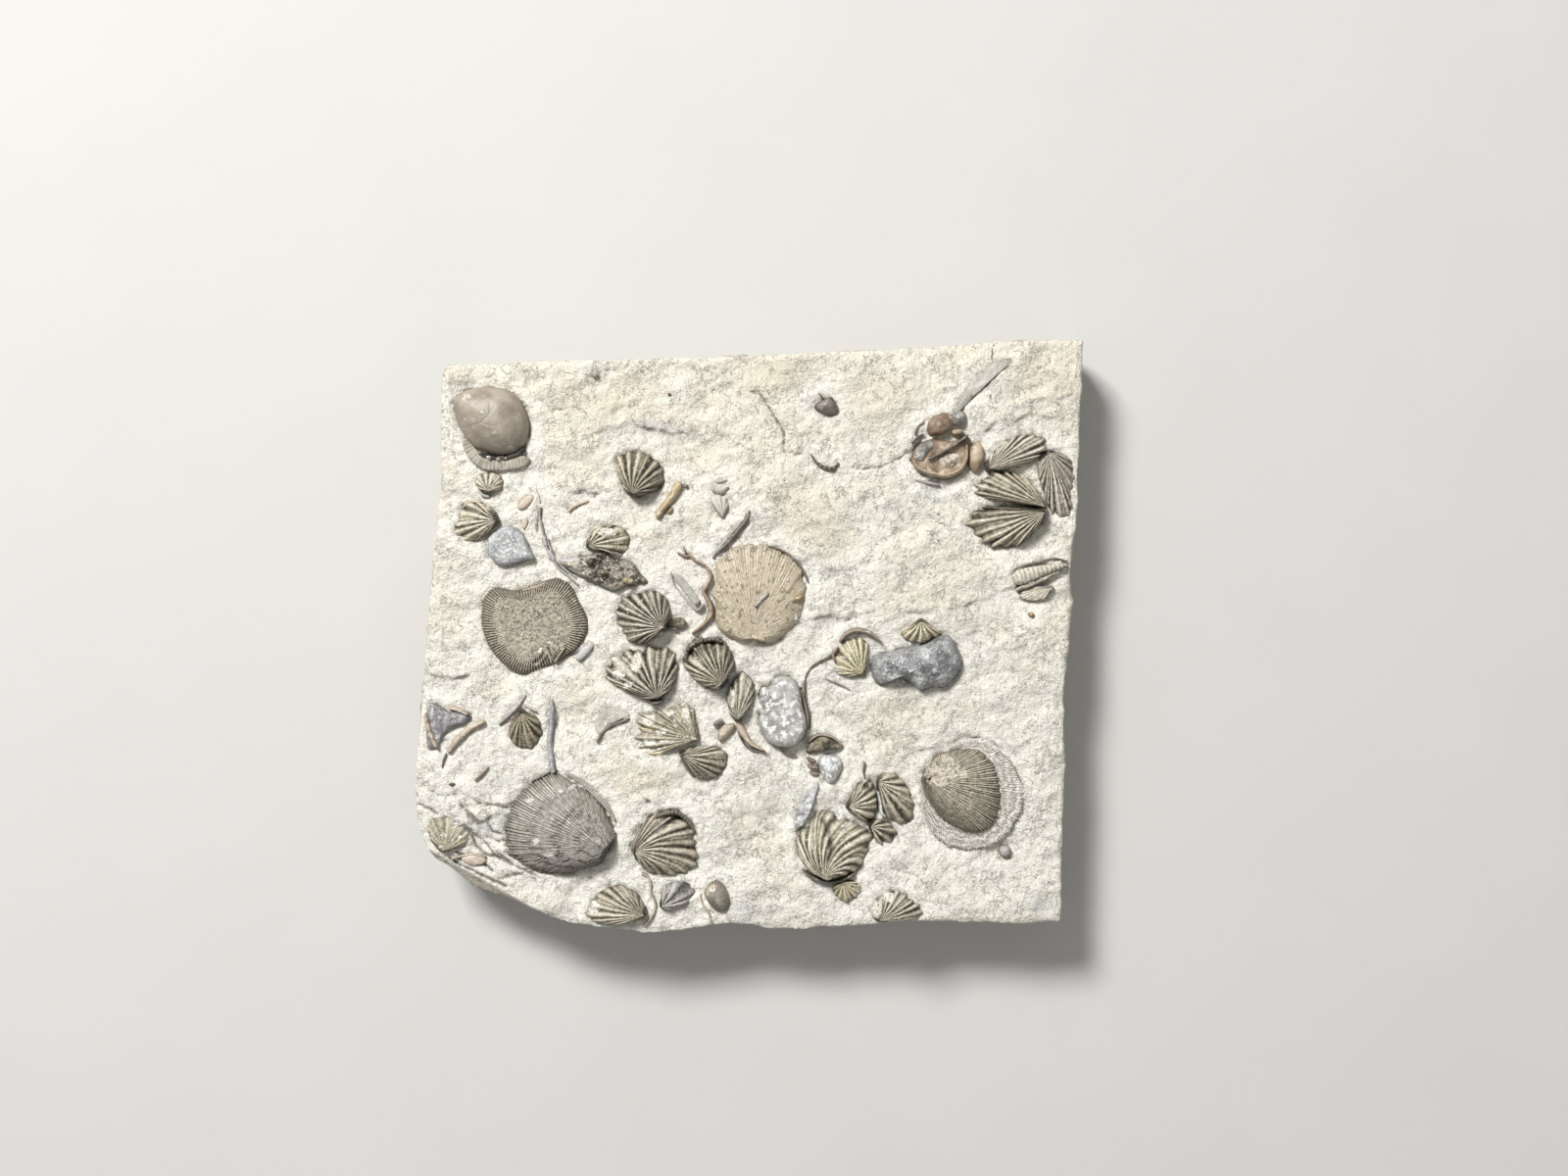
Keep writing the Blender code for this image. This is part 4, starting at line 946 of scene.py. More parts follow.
def scraped_colour(tree, place, marks, mottle, light, crease):
    """Cream, warmer towards the top edge, under dull and chalky mottles, grit, creases and the
    four marks, painted shade with dirt and grey-blue with painted shade among them."""
    axes = add(tree, "SeparateXYZ", [place]).node.outputs
    broad = add(tree, "TexNoise", [place, per_mm(15.0), 4.0, 0.55])
    grit = add(tree, "TexNoise", [place, per_mm(0.5)])
    upwards = add(tree, "MapRange", [axes[1], -0.05, 0.05, -0.1, 0.1])
    warm = add(tree, "Math", [broad, upwards], operation="ADD")
    warm = add(tree, "MapRange", [warm, 0.38, 0.66])
    colour = add(tree, "Mix", [warm, srgb("#E9E4D8"), srgb("#E5DDC9")], data_type="RGBA")
    dull = add(tree, "MapRange", [mottle, 0.44, 0.72, 0.0, 0.5])
    chalky = add(tree, "MapRange", [light, 0.44, 0.66, 0.0, 0.5])
    specks = add(tree, "MapRange", [grit, 0.65, 0.70, 0.0, 0.65])
    faint = add(tree, "Math", [crease, 0.5], operation="MULTIPLY")
    fresh = add(tree, "MapRange", [mottle, 0.3, 0.6, 0.9, 0.4])
    white = add(tree, "Math", [marks[WHITE], fresh], operation="MULTIPLY")
    # Painted shade with dirt, weaker where the chalky mottle is high
    shade_breakup = add(tree, "MapRange", [light, 0.35, 0.65, 0.95, 0.4])
    shade_and_dirt = add(tree, "Math", [marks[SHADE_AND_DIRT], shade_breakup], operation="MULTIPLY")
    shade_and_dirt = add(tree, "MapRange", [shade_and_dirt, 0.18, 0.5, 0.0, 0.85])
    # The grey layer also carries painted shade below ledges
    layers = [(dull, "#CFC8BB"), (chalky, "#F9F6EC"), (specks, "#77726A"), (faint, "#7D776D"),
              (marks[GREY_AND_SHADE], "#BEBDBC"), (marks[RUST], "#D2C6AC"), (white, "#F6F3E9"),
              (shade_and_dirt, "#6A6358")]
    for cover, shade in layers:
        colour = add(tree, "Mix", [cover, colour, srgb(shade)], data_type="RGBA")
    # The sides were never scraped: clay still stains them
    stained = add(tree, "MapRange", [mottle, 0.35, 0.65])
    earthy = add(tree, "Mix", [stained, srgb("#CFC6B4"), srgb("#A79D8C")], data_type="RGBA")
    side = add(tree, "MapRange", [axes[2], 15.2 * MM, 13.5 * MM, 0.0, 0.85])
    return add(tree, "Mix", [side, colour, earthy], data_type="RGBA")


def flaky_relief(tree, place, mottle, light, crease):
    """Scratches of the tool, and thin flakes: the relief climbs in steps with sharp edges."""
    stretched = add(tree, "Mapping", {"Vector": place, "Rotation": (0, 0, 0.6),
                                      "Scale": (1.0, 0.28, 1.0)})
    scratches = add(tree, "TexNoise", [stretched, per_mm(0.9), 4.0, 0.65])
    sheet = add(tree, "TexNoise", [place, per_mm(3.6), 4.0, 0.58])
    beds = add(tree, "Math", [sheet, FLAKE_BEDS], operation="MULTIPLY")
    whole = add(tree, "Math", [beds], operation="FLOOR")
    part = add(tree, "Math", [beds], operation="FRACT")
    scarp = add(tree, "MapRange", [part, 0.82, 1.0])
    flakes = add(tree, "Math", [whole, scarp], operation="ADD")
    relief = add(tree, "Math", [flakes, 1.6 / FLAKE_BEDS, scratches], operation="MULTIPLY_ADD")
    for height, share in ((light, 0.8), (mottle, 1.2), (crease, -0.35)):
        relief = add(tree, "Math", [height, share, relief], operation="MULTIPLY_ADD")
    return relief


def scraped_limestone():
    """Fine-grained clayey limestone, split along its bedding and scraped with a blunt tool: matt
    and cream, mottled, chalk-white where it was scraped, speckled with grit, grey-blue where it
    is fresh and rusty in its cracks, with painted shade at its ledges, cracks, hollows and moats.
    Hair creases run through it in patches; real ones are under 0.1 mm wide and are drawn twice as
    wide."""
    material, tree = new_material("scraped_limestone")
    place, marks = marks_of(tree)
    mottle = add(tree, "TexNoise", [place, per_mm(1.8), 6.0, 0.7])
    light = add(tree, "TexNoise", [place, per_mm(0.75), 5.0, 0.74])
    crease = add(tree, "Math", [creases(tree, place, 3.4, 0.014), creases(tree, place, 1.5, 0.02)],
                 operation="MAXIMUM")
    colour = scraped_colour(tree, place, marks, mottle, light, crease)
    relief = flaky_relief(tree, place, mottle, light, crease)
    rough = add(tree, "MapRange", [mottle, 0.3, 0.7, 0.82, 0.96])
    surface(tree, place, colour, rough, relief, 0.5, 0.09)
    return material


# --- The fossils ---

def smooth_shell():
    """Smooth high shell at the top left, on the torn rim of its other valve."""
    # The wide shallow first cut along the lower rim paints shade there
    lump("smooth_shell_upper_valve", "smooth_brown", 4.2, (-43.9, 37.4), [(-51.2, 41), (-50.2, 42),
        (-48.3, 42.7), (-46.1, 43), (-42.3, 42.7), (-39.8, 41), (-38.4, 37.9), (-38.2, 35.2), (-39.1, 32.8),
        (-40.5, 31.5), (-43.2, 31.3), (-45.4, 31.8), (-47.4, 32.5), (-49.1, 34.2), (-50.2, 36.2),
        (-51, 38.8)], rough=0.05, cuts=[(0.09, 1.5, [(-51, 37.4), (-49.5, 34.3), (-46.8, 32), (-43.7, 31.3),
        (-40.5, 31.6), (-38.4, 34), (-38.2, 37.4)]), (0.12, 0.16, [(-44.4, 40.1), (-44.4, 38.1),
        (-45.9, 36.6), (-48.1, 35.9), (-50.2, 35.7)]), (0.08, 0.16, [(-45.9, 36.6), (-44.2, 36),
        (-42.7, 36.4)])], crusts=[((-48.5, 41), (1, 0.9), 30), ((-45.6, 38.6), (0.7, 0.7), 0),
        ((-44.9, 35.9), (0.5, 0.3), 0)])
    rod("smooth_shell_lower_valve", "tan_brown", 0.9, [(-49.3, 34.2, 0.68), (-48.3, 32.1, 0.94),
        (-46.9, 30.6, 1.1), (-45.1, 29.8, 1.19), (-42.5, 29.8, 1.22), (-40, 30, 1.09), (-37.9, 30.5, 0.65)],
        rings=64, rough=0.25, ring_depth=0.1, moat=0.2, flat=True)
    # A near-black rod stands in for the shade in the gap between the valves
    rod("smooth_shell_gap", "cavity_shade", 1.3, [(-46.9, 31.5, 0.14), (-45.2, 30.9, 0.26),
        (-43, 30.6, 0.29), (-41.1, 30.9, 0.44), (-39.6, 31.6, 0.41), (-38.8, 32.6, 0.17)], rough=0.3,
        flat=True)
    crumb("calcite_crumb_west", "crumb", 1.7, (-44.9, 30.8), [(-44.3, 30.7), (-44.5, 30.5), (-44.9, 30.4),
        (-45.3, 30.6), (-45.5, 30.9), (-45.3, 31.1), (-44.8, 31.1), (-44.4, 30.9)], rough=0.5)
    crumb("calcite_crumb_east", "crumb", 1.7, (-43.4, 30.5), [(-42.9, 30.6), (-42.9, 30.4), (-43.3, 30.2),
        (-43.7, 30.2), (-43.8, 30.4), (-43.7, 30.6), (-43.4, 30.8), (-43.1, 30.8)], rough=0.5)
    crumb("calcite_crumb_south", "crumb", 1.6, (-42, 30.6), [(-41.6, 30.6), (-41.7, 30.4), (-42, 30.3),
        (-42.3, 30.4), (-42.3, 30.6), (-42.3, 30.8), (-42, 30.9), (-41.7, 30.8)], rough=0.5)


def north_west_shells():
    """Small ribbed shells and chips below the smooth shell."""
    valve("small_fan_shell_nw", "tan", 8, 1.2, (-45.1, 25), [(-46.9, 25.2), (-47.4, 26.7), (-46.8, 27.9),
        (-45.1, 28.2), (-43.4, 27.9), (-42.7, 26.9), (-43.2, 25.2)], depth=0.31)
    rod("small_fan_hollow", "grey_bit", 0.5, [(-46.8, 25.2, 0.14), (-46.1, 24.3, 0.31), (-44.9, 24, 0.27)])
    valve("ribbed_shell_w", "gold", 9, 1.6, (-43.7, 19.9), [(-44.4, 21.9), (-46.6, 23.1), (-49, 23.3),
        (-50, 21.8), (-50.7, 19.6), (-51.3, 17.7), (-48.6, 16.3), (-46.4, 17), (-44.5, 18.4)], depth=0.5,
        rough=0.1, cuts=[(0.2, 0.3, [(-44.9, 21.8), (-43.9, 20.4), (-43.7, 19.4)])])
    rod("shell_w_upper_lip", "tan_bit", 0.7, [(-49.6, 22.1, 0.2), (-48.3, 23.1, 0.37), (-46.2, 23.1, 0.26)])
    lump("speckled_nodule", "speckled_blue", 1.6, (-41.8, 15.6), [(-43.4, 18.4), (-42, 19.2), (-40.5, 18.7),
        (-38.9, 17.2), (-38.1, 15.1), (-37.2, 13.4), (-38.6, 13.1), (-41.7, 12.1), (-43.5, 12.2),
        (-45.1, 13.8), (-45.7, 15.3), (-45.1, 17)], rough=0.08, grain=0.9, flat=True)
    rod("tan_leaf", "pink_tan", 0.8, [(-40, 21.8, 0.34), (-39.3, 22.6, 0.77), (-38.2, 23.5, 0.77),
        (-37.1, 24.3, 0.26)], flat=True)
    rod("tan_leaf_point", "pink_tan", 0.25, [(-39.1, 18.4, 0.2), (-38.9, 19.6, 0.54), (-38.6, 20.9, 0.17)],
        flat=True)
    rod("pale_sliver", "pink_tan", 0.35, [(-31.3, 21.4, 0.14), (-30.6, 22.3, 0.31), (-29.2, 23, 0.34),
        (-27.7, 23.3, 0.14)], flat=True)
    rod("stem_thread", "grey_bit", 0.4, [(-36.9, 25.5, 0.1), (-36.4, 24.1, 0.15), (-36.2, 22.8, 0.14)])


def north_shells():
    """Ribbed shells, rods and faint fans above the middle."""
    valve("ribbed_shell_n", "olive", 12, 3.0, (-20.2, 24.5), [(-21.6, 25.2), (-22.6, 28.2), (-23, 30.8),
        (-21.6, 31.6), (-20.1, 32), (-18.2, 31.6), (-16.5, 30.6), (-15, 29.1), (-14.6, 27.4), (-15, 26.2),
        (-16.3, 25), (-18.4, 24.1)], depth=0.6, shade_side=0.7, cuts=[(0.12, 0.3, [(-21.1, 24.7),
        (-19.7, 24.1), (-17.7, 24.5)])])
    rod("ochre_rod", "ochre", 1.3, [(-11.9, 26.7, 0.77), (-12.8, 24.8, 0.77), (-13.8, 23.3, 0.68),
        (-15, 21.9, 0.6), (-16, 20.2, 0.43)], rough=0.2)
    crumb("ochre_chip", "ochre", 0.7, (-13.6, 21.6), [(-13.2, 22.1), (-13.1, 21.8), (-13.3, 21.4),
        (-13.7, 21.1), (-14.1, 21), (-14.1, 21.4), (-13.9, 21.8), (-13.5, 22.1)])
    valve("faint_fan", "ghost", 4, 0.6, (-4.6, 20.7), [(-7, 23.5), (-5.6, 24.5), (-3.9, 24), (-3.6, 22.1)],
        depth=0.36, moat=0.2)
    rod("faint_crescent", "ghost", 0.7, [(-6.5, 25.2, 0.2), (-4.9, 24.8, 0.44), (-3.4, 25.8, 0.24)],
        rings=7, ring_depth=0.2)
    rod("faint_crescent_upper", "ghost", 0.5, [(-5.8, 26.4, 0.14), (-4.6, 26.7, 0.31), (-3.6, 26.9, 0.14)])
    rod("grey_stick", "dark_bit", 0.9, [(-5.8, 14.1, 0.43), (-3.7, 16, 0.44), (-2, 18, 0.51),
        (-0.7, 19.6, 0.51), (0.3, 21.1, 0.37)], rough=0.12)
    rod("grey_stick_tip", "dark_bit", 0.6, [(-1.2, 18.9, 0.27), (-0.3, 20.4, 0.22), (0.2, 21.9, 0.12)],
        rough=0.1)
    rod("grey_stick_root", "grey_bit", 0.6, [(-6.3, 13.3, 0.17), (-5.3, 15, 0.31), (-3.9, 16.5, 0.2)],
        rough=0.1)
    crumb("dark_grain_north", "dark_bit", 0.5, (-10.9, 25.8), [(-10.5, 25.8), (-10.6, 25.6), (-10.9, 25.5),
        (-11.1, 25.6), (-11.2, 25.8), (-11.2, 26.1), (-10.9, 26.2), (-10.6, 26.1)])
    crumb("dark_grain_middle", "dark_bit", 0.4, (-13.8, 41.8), [(-13.5, 41.8), (-13.5, 41.6), (-13.8, 41.5),
        (-14, 41.6), (-14.1, 41.8), (-14, 42), (-13.8, 42.1), (-13.5, 42)])
    crumb("grey_ring_north", "grey_bit", 0.35, (-26.7, 45.1), [(-26.1, 45.1), (-26.3, 44.8), (-26.7, 44.7),
        (-27.1, 44.8), (-27.3, 45.1), (-27.1, 45.3), (-26.7, 45.4), (-26.2, 45.3)])


def crusted_cluster():
    """Crusted shell, the dark mineral flake below it and the double stem."""
    valve("crusted_ribbed_shell", "olive", 9, 1.9, (-27.7, 15.5), [(-27.9, 16.8), (-26.9, 18.4),
        (-24.8, 19), (-22.6, 19), (-21.1, 17.9), (-20.7, 16.2), (-21.6, 13.9), (-24.1, 14.5),
        (-26.7, 14.5)], rough=0.16, depth=0.43, crusts=[((-24.5, 17.9), (2.2, 1), 0)])
    lump("dark_mineral_fragment", "pyrite", 1.8, (-24.8, 11.1), [(-33.2, 12.8), (-30.6, 13.3),
        (-28.4, 13.9), (-25.5, 14.3), (-23, 13.3), (-20.2, 12.6), (-18.9, 10.9), (-17.5, 9.2), (-19.2, 8.7),
        (-20.6, 8.8), (-23, 7.7), (-25.5, 8.5), (-27.7, 9.4), (-30.3, 10.7), (-31.8, 11.7)], rough=0.42,
        grain=1.1, cuts=[(0.5, 0.5, [(-26.9, 13.3), (-25.8, 12.2), (-25.2, 12.6)])])
    lump("mineral_fragment_tail", "violet_bit", 1.0, (-30.3, 12.4), [(-33, 13.1), (-30.4, 13.6),
        (-27.9, 13.4), (-27.9, 12.1), (-28.9, 10.5), (-30.8, 11.2)], rough=0.08)
    crumb("mineral_crumb_west", "pyrite_pale", 2.6, (-27.4, 12.6), [(-26.5, 12.3), (-26.9, 11.9),
        (-27.6, 11.9), (-28.2, 12.3), (-28.3, 12.9), (-27.8, 13.2), (-27.1, 13.3), (-26.6, 12.8)],
        rough=0.35, grain=0.8)
    crumb("mineral_crumb_south", "pyrite_pale", 2.6, (-25, 10.9), [(-23.7, 10.7), (-24.3, 10.3),
        (-25.1, 10.3), (-26, 10.6), (-26.1, 11.1), (-25.8, 11.5), (-24.9, 11.5), (-24.1, 11.2)], rough=0.35,
        grain=0.8)
    crumb("mineral_crumb_north", "pyrite_pale", 2.4, (-25.7, 13.9), [(-24.7, 13.8), (-25, 13.5),
        (-25.8, 13.5), (-26.4, 13.7), (-26.7, 14.1), (-26.3, 14.4), (-25.6, 14.4), (-24.8, 14.2)],
        rough=0.3, grain=0.8)
    crumb("mineral_crumb_rust", "rusty", 2.1, (-20.9, 9.5), [(-19.6, 9.2), (-20, 8.8), (-21.1, 8.9),
        (-22, 9.3), (-22.2, 9.9), (-21.7, 10.2), (-20.7, 10.2), (-19.9, 9.8)], rough=0.35, grain=0.8)
    rod("curved_stem", "grey_bit", 0.6, [(-36.2, 22.4, 0.15), (-36.2, 20.1, 0.17), (-35.7, 17.9, 0.22),
        (-35.2, 15.6, 0.26), (-34.3, 13.6, 0.26), (-33, 11.7, 0.24), (-31.3, 10.2, 0.2),
        (-29.6, 8.7, 0.14)], rough=0.08)
    rod("curved_stem_twin", "violet_bit", 0.4, [(-35, 17, 0.12), (-34.5, 15.1, 0.15), (-33.5, 13.1, 0.17),
        (-31.8, 11.4, 0.17), (-29.9, 9.9, 0.12)])
    rod("stem_joint_upper", "violet_bit", 0.9, [(-35.6, 17.2, 0.41), (-35.4, 16.3, 0.44),
        (-35, 15.3, 0.37)])
    rod("stem_joint_lower", "violet_bit", 0.9, [(-34.7, 14.8, 0.37), (-34.2, 13.8, 0.41),
        (-33.7, 12.8, 0.34)])


def dark_disc():
    """Nearly flat dark valve with a fine fringe of ribs round its margin."""
    lump("dark_disc_valve", "disc", 1.2, (-37.2, 1.4), [(-46.4, 4.2), (-45.9, 6.6), (-44.5, 8), (-43, 8.2),
        (-40.3, 7.8), (-37.9, 8.2), (-35.4, 9.5), (-32.8, 9.9), (-31.1, 8.8), (-29.8, 6.6), (-28.7, 4.6),
        (-27.9, 2.4), (-28.2, 0.5), (-29.4, -1.7), (-30.6, -3.1), (-33.8, -4.8), (-36.6, -5.8),
        (-38.9, -6.6), (-41, -6.1), (-42.8, -4.8), (-44.5, -2.9), (-45.7, -0.7), (-46.4, 2)], flat=True,
        rough=0.1, grain=0.7, fringe=(104, 0.68, 0.36), cuts=[(0.3, 0.25, [(-37.4, -4.8), (-36, -3.9),
        (-35.4, -2.9)]), (0.3, 0.22, [(-33.7, -4.1), (-32.8, -3.4), (-31.8, -2.4)]), (0.22, 0.2,
        [(-34.5, -4.9), (-34.3, -3.4), (-34.7, -2)]), (0.22, 0.2, [(-32.6, -4.4), (-31.5, -3.4),
        (-30.3, -2.7)]), (0.2, 0.2, [(-36.2, -5.3), (-35.4, -4.4), (-34.7, -3.4)])], crusts=[((-36.2, -2.6),
        (0.7, 0.4), 40), ((-36.6, -4.9), (0.9, 0.3), 20), ((-32.3, -2.4), (0.5, 0.4), 0), ((-34.7, -1.2),
        (0.5, 0.3), 0)])
    rod("disc_hinge_rib", "disc", 1.5, [(-34.2, -4.9, 0.2), (-34.5, -3.4, 0.24), (-35.4, -1.7, 0.14)])
    rod("disc_hinge_rib_east", "disc", 1.5, [(-33.7, -4.8, 0.2), (-32.8, -3.4, 0.22), (-31.6, -1.9, 0.14)])
    rod("disc_upper_lip", "tan_bit", 0.8, [(-39.3, 7.7, 0.17), (-37.1, 8.3, 0.27), (-35, 9.2, 0.24)],
        rings=10)
    rod("violet_chip", "violet_bit", 0.9, [(-29.9, -4.4, 0.51), (-28.4, -2.7, 0.77), (-26.9, -1.2, 0.51)],
        flat=True)


def middle_shells():
    """Ribbed shells crowded below the middle of the face."""
    valve("ribbed_shell_centre", "dark", 16, 3.2, (-14.8, 1.4), [(-13.8, 2.4), (-13.9, 5.1), (-14.8, 7.1),
        (-17, 7.8), (-19.4, 7.3), (-21.6, 6.8), (-22.4, 6), (-23, 4.4), (-22.8, 2.4), (-21.8, 0.5),
        (-20.6, -1), (-18.5, -1.5), (-15.8, 0.2)], depth=0.6, rough=0.12, shade_side=-0.25, zigzag=0.05)
    crumb("centre_shell_bump", "pyrite_pale", 1.3, (-12.1, 2.2), [(-10.8, 2.2), (-11.3, 1.6), (-12.1, 1.3),
        (-12.9, 1.5), (-13.2, 2.2), (-13, 2.9), (-12.1, 3.1), (-11.3, 2.9)], rough=0.2)
    rod("centre_shell_spur", "dark_bit", 0.8, [(-15, 0.7, 0.37), (-13.6, 1.2, 0.31), (-12.2, 0.9, 0.15)])
    valve("splayed_ribbed_shell", "dark", 14, 2.6, (-15.8, -10.7), [(-17.7, -11.2), (-19.2, -10.5),
        (-21.9, -9.2), (-24.8, -7.5), (-24.7, -5.8), (-23.8, -4.4), (-21.9, -2.7), (-20.6, -2.4),
        (-18.2, -2.4), (-16.7, -2), (-14.8, -2), (-13.1, -2.7), (-12.6, -4.1), (-12.2, -5.6), (-12.8, -7.5),
        (-13.4, -9), (-14.5, -10.2)], depth=0.72, rough=0.14, zigzag=0.09, crusts=[((-19.4, -4.6),
        (1.2, 2.2), -12), ((-22.4, -6.5), (1.9, 1.4), 35), ((-20.7, -8.5), (1.4, 0.7), 30), ((-23.1, -4.1),
        (1, 0.9), 0)])
    rod("splayed_shell_beak", "dark_bit", 2.0, [(-17.2, -11.6, 0.17), (-16, -11.7, 0.51),
        (-14.8, -11.2, 0.2)], rough=0.15)
    valve("crested_ribbed_shell", "olive", 14, 3.2, (-4.6, -8.2), [(-3.4, -7.1), (-2.7, -5.6), (-2.7, -3.9),
        (-3.6, -2), (-4.9, -0.7), (-7.7, -0.3), (-9.9, -0.9), (-10.4, -2.7), (-11.4, -3.9), (-11.2, -5.6),
        (-9.5, -7.5), (-7.1, -9), (-5.3, -9.4)], depth=0.54, rough=0.14, shade_side=-0.5, cuts=[(0.3, 0.5,
        [(-10.9, -2.7), (-10, -1.5), (-7.5, -1), (-4.9, -1.5)]), (0.15, 1.0, [(-10.2, -3.7), (-8.5, -2.4),
        (-6.1, -2)])])
    rod("crest_of_shell", "dark_bit", 2.0, [(-10.9, -4.1, 0.24), (-10.5, -2.4, 0.41), (-8.8, -1.2, 0.44),
        (-6.3, -0.7, 0.37), (-4.4, -1.2, 0.2)], rings=12, ring_depth=0.4, rough=0.2)
    valve("oval_ribbed_shell", "grey_olive", 9, 2.2, (-2, -14.5), [(-3.4, -13.6), (-3.7, -11.7),
        (-3.6, -9.7), (-2.6, -7.8), (-1.2, -6.5), (0, -7), (0.9, -9.2), (0.5, -11.9), (-0.7, -13.8)],
        depth=0.43, rough=0.08, crusts=[((-2.7, -10.9), (0.4, 2), 0)])
    valve("low_gold_shell", "yellow_tan", 17, 1.2, (-9.2, -18), [(-11.9, -18.9), (-15.6, -20.4),
        (-18.2, -19.9), (-19.4, -17.7), (-18.9, -15.8), (-19.4, -14.1), (-18.5, -13.1), (-14.8, -12.8),
        (-12.1, -11.9), (-9.9, -12.2), (-9.4, -14.6), (-8.8, -16.7)], depth=0.55, rough=0.2, zigzag=0.16,
        crusts=[((-17.3, -14.8), (1.7, 1.2), 20), ((-15, -16.7), (1.5, 0.7), 15), ((-10.9, -13.4), (1, 1.4),
        0), ((-17.3, -18.5), (1.5, 0.9), 0), ((-13.6, -13.6), (1, 0.7), 0)])
    rod("low_shell_shard_south", "gold_bit", 0.7, [(-17.7, -20.4, 0.17), (-15.6, -20.4, 0.32),
        (-13.3, -19.4, 0.17)])
    rod("low_shell_shard_west", "gold_bit", 0.6, [(-19.4, -15.8, 0.14), (-18, -16.3, 0.26),
        (-16.3, -16.5, 0.15)])
    valve("domed_ribbed_shell", "gold", 12, 2.6, (-11.4, -20.7), [(-10.9, -19.7), (-8.3, -19.2),
        (-5.8, -19.4), (-4.1, -20.4), (-3.9, -22.4), (-5.1, -24.3), (-7.8, -25), (-10.2, -24),
        (-11.6, -22.1)], depth=0.6, shade_side=0.8, rough=0.1)
    valve("small_brown_shell", "brown_shell", 10, 1.8, (-39.3, -13.4), [(-37.9, -13.6), (-36.7, -14.3),
        (-35.9, -16), (-36.2, -17.7), (-37.6, -19.4), (-39.3, -19.6), (-41.1, -18.5), (-41.7, -16.8),
        (-41.1, -14.8), (-40.1, -13.8)], depth=0.36)
    rod("curved_horn", "tan_bit", 1.2, [(-1.9, -14.8, 0.34), (-1.4, -16.2, 0.68), (-0.5, -17.7, 0.61),
        (0.7, -19, 0.41), (2.9, -20.1, 0.15)], rough=0.08)
    rod("curved_horn_base", "dark_bit", 0.8, [(-2, -16.3, 0.14), (-1.2, -18.2, 0.2), (0.3, -19.7, 0.22),
        (3.2, -20.4, 0.12)])
    lump("tan_bit_middle", "tan_bit", 1.0, (-4.2, -16.8), [(-5.4, -17), (-4.4, -15.6), (-2.6, -15.3),
        (-2.6, -16.2), (-3.9, -17.7), (-5.1, -18.4)])
    crumb("grey_bit_middle", "grey_bit", 0.9, (-5.3, -15.1), [(-4.5, -14.8), (-4.5, -15.1), (-5, -15.6),
        (-5.7, -15.7), (-6.2, -15.6), (-6, -15.1), (-5.5, -14.7), (-4.8, -14.5)], rough=0.1)


def west_pieces():
    """Rods, slivers and the broken edge piece at the left."""
    rod("grey_rod", "blue_bit", 0.9, [(-34, -12.2, 0.43), (-34.3, -15.5, 0.51), (-34.5, -18.5, 0.51),
        (-34.2, -21.9, 0.51), (-33.8, -24, 0.43)], rough=0.12)
    rod("grey_rod_tip", "blue_bit", 0.5, [(-34.2, -10.9, 0.1), (-34.1, -12.1, 0.22), (-34.2, -13.4, 0.26)])
    rod("grey_streak", "grey_bit", 0.45, [(-38.6, -10.2, 0.14), (-40.1, -12.1, 0.37), (-41.8, -13.8, 0.41),
        (-43.5, -15.5, 0.17)], flat=True, rough=0.1)
    rod("tan_line", "tan_bit", 0.4, [(-39.1, -12.1, 0.09), (-37.9, -12.8, 0.15), (-36.7, -13.3, 0.09)])
    rod("grey_sickle", "dark_bit", 0.7, [(-26.4, -18.7, 0.14), (-25.5, -17, 0.26), (-23.8, -15.6, 0.26),
        (-21.6, -14.8, 0.24), (-20.6, -14.3, 0.12)])
    lump("grey_sickle_film", "ghost", 0.25, (-24.1, -14.3), [(-26.7, -16), (-25.8, -13.9), (-24.1, -12.6),
        (-22.1, -12.6), (-20.7, -13.8), (-22.6, -14.8), (-24.5, -15.8), (-25.7, -17.3)], flat=True,
        rough=0.06)
    lump("edge_fragment", "grey_violet", 1.2, (-52.9, -15.1), [(-55.8, -13.6), (-54.6, -11.9), (-52, -13.3),
        (-50.8, -12.8), (-48.3, -13.8), (-49, -15.1), (-51.2, -15.8), (-53, -17.3), (-53.7, -19),
        (-54.9, -19.6), (-55.8, -19)], rough=0.22, grain=1.0)
    rod("edge_fragment_rib_west", "tan_bit", 1.7, [(-55.9, -13.4, 0.44), (-55.4, -16, 0.54),
        (-54.4, -18.4, 0.51), (-53.9, -19.6, 0.26)], rings=4, ring_depth=0.08)
    rod("edge_fragment_rib_east", "tan_bit", 1.5, [(-52.2, -12.6, 0.2), (-50.5, -12.9, 0.41),
        (-48.5, -13.8, 0.24)])
    rod("edge_fragment_rib_upper", "grey_bit", 1.4, [(-55.1, -11.9, 0.17), (-53.7, -12.9, 0.34),
        (-52.5, -14.1, 0.2)])
    rod("tan_sliver", "tan_bit", 0.9, [(-45.7, -14.8, 0.34), (-48.5, -16.2, 0.51), (-50.8, -18.5, 0.51),
        (-52.2, -20.4, 0.34)], flat=True)
    rod("tan_sliver_tail", "dark_bit", 0.4, [(-52.4, -20.4, 0.14), (-52.9, -21.6, 0.2), (-53.2, -23, 0.1)])
    rod("dark_sliver", "brown_bit", 0.45, [(-47.6, -25.2, 0.1), (-46.4, -24.1, 0.24), (-45.1, -22.8, 0.12)])
    crumb("dark_grain_west", "dark_bit", 0.4, (-51.5, -25.8), [(-50.9, -25.8), (-51.2, -26), (-51.5, -26.1),
        (-51.9, -26), (-52, -25.8), (-51.9, -25.7), (-51.5, -25.6), (-51.1, -25.6)])


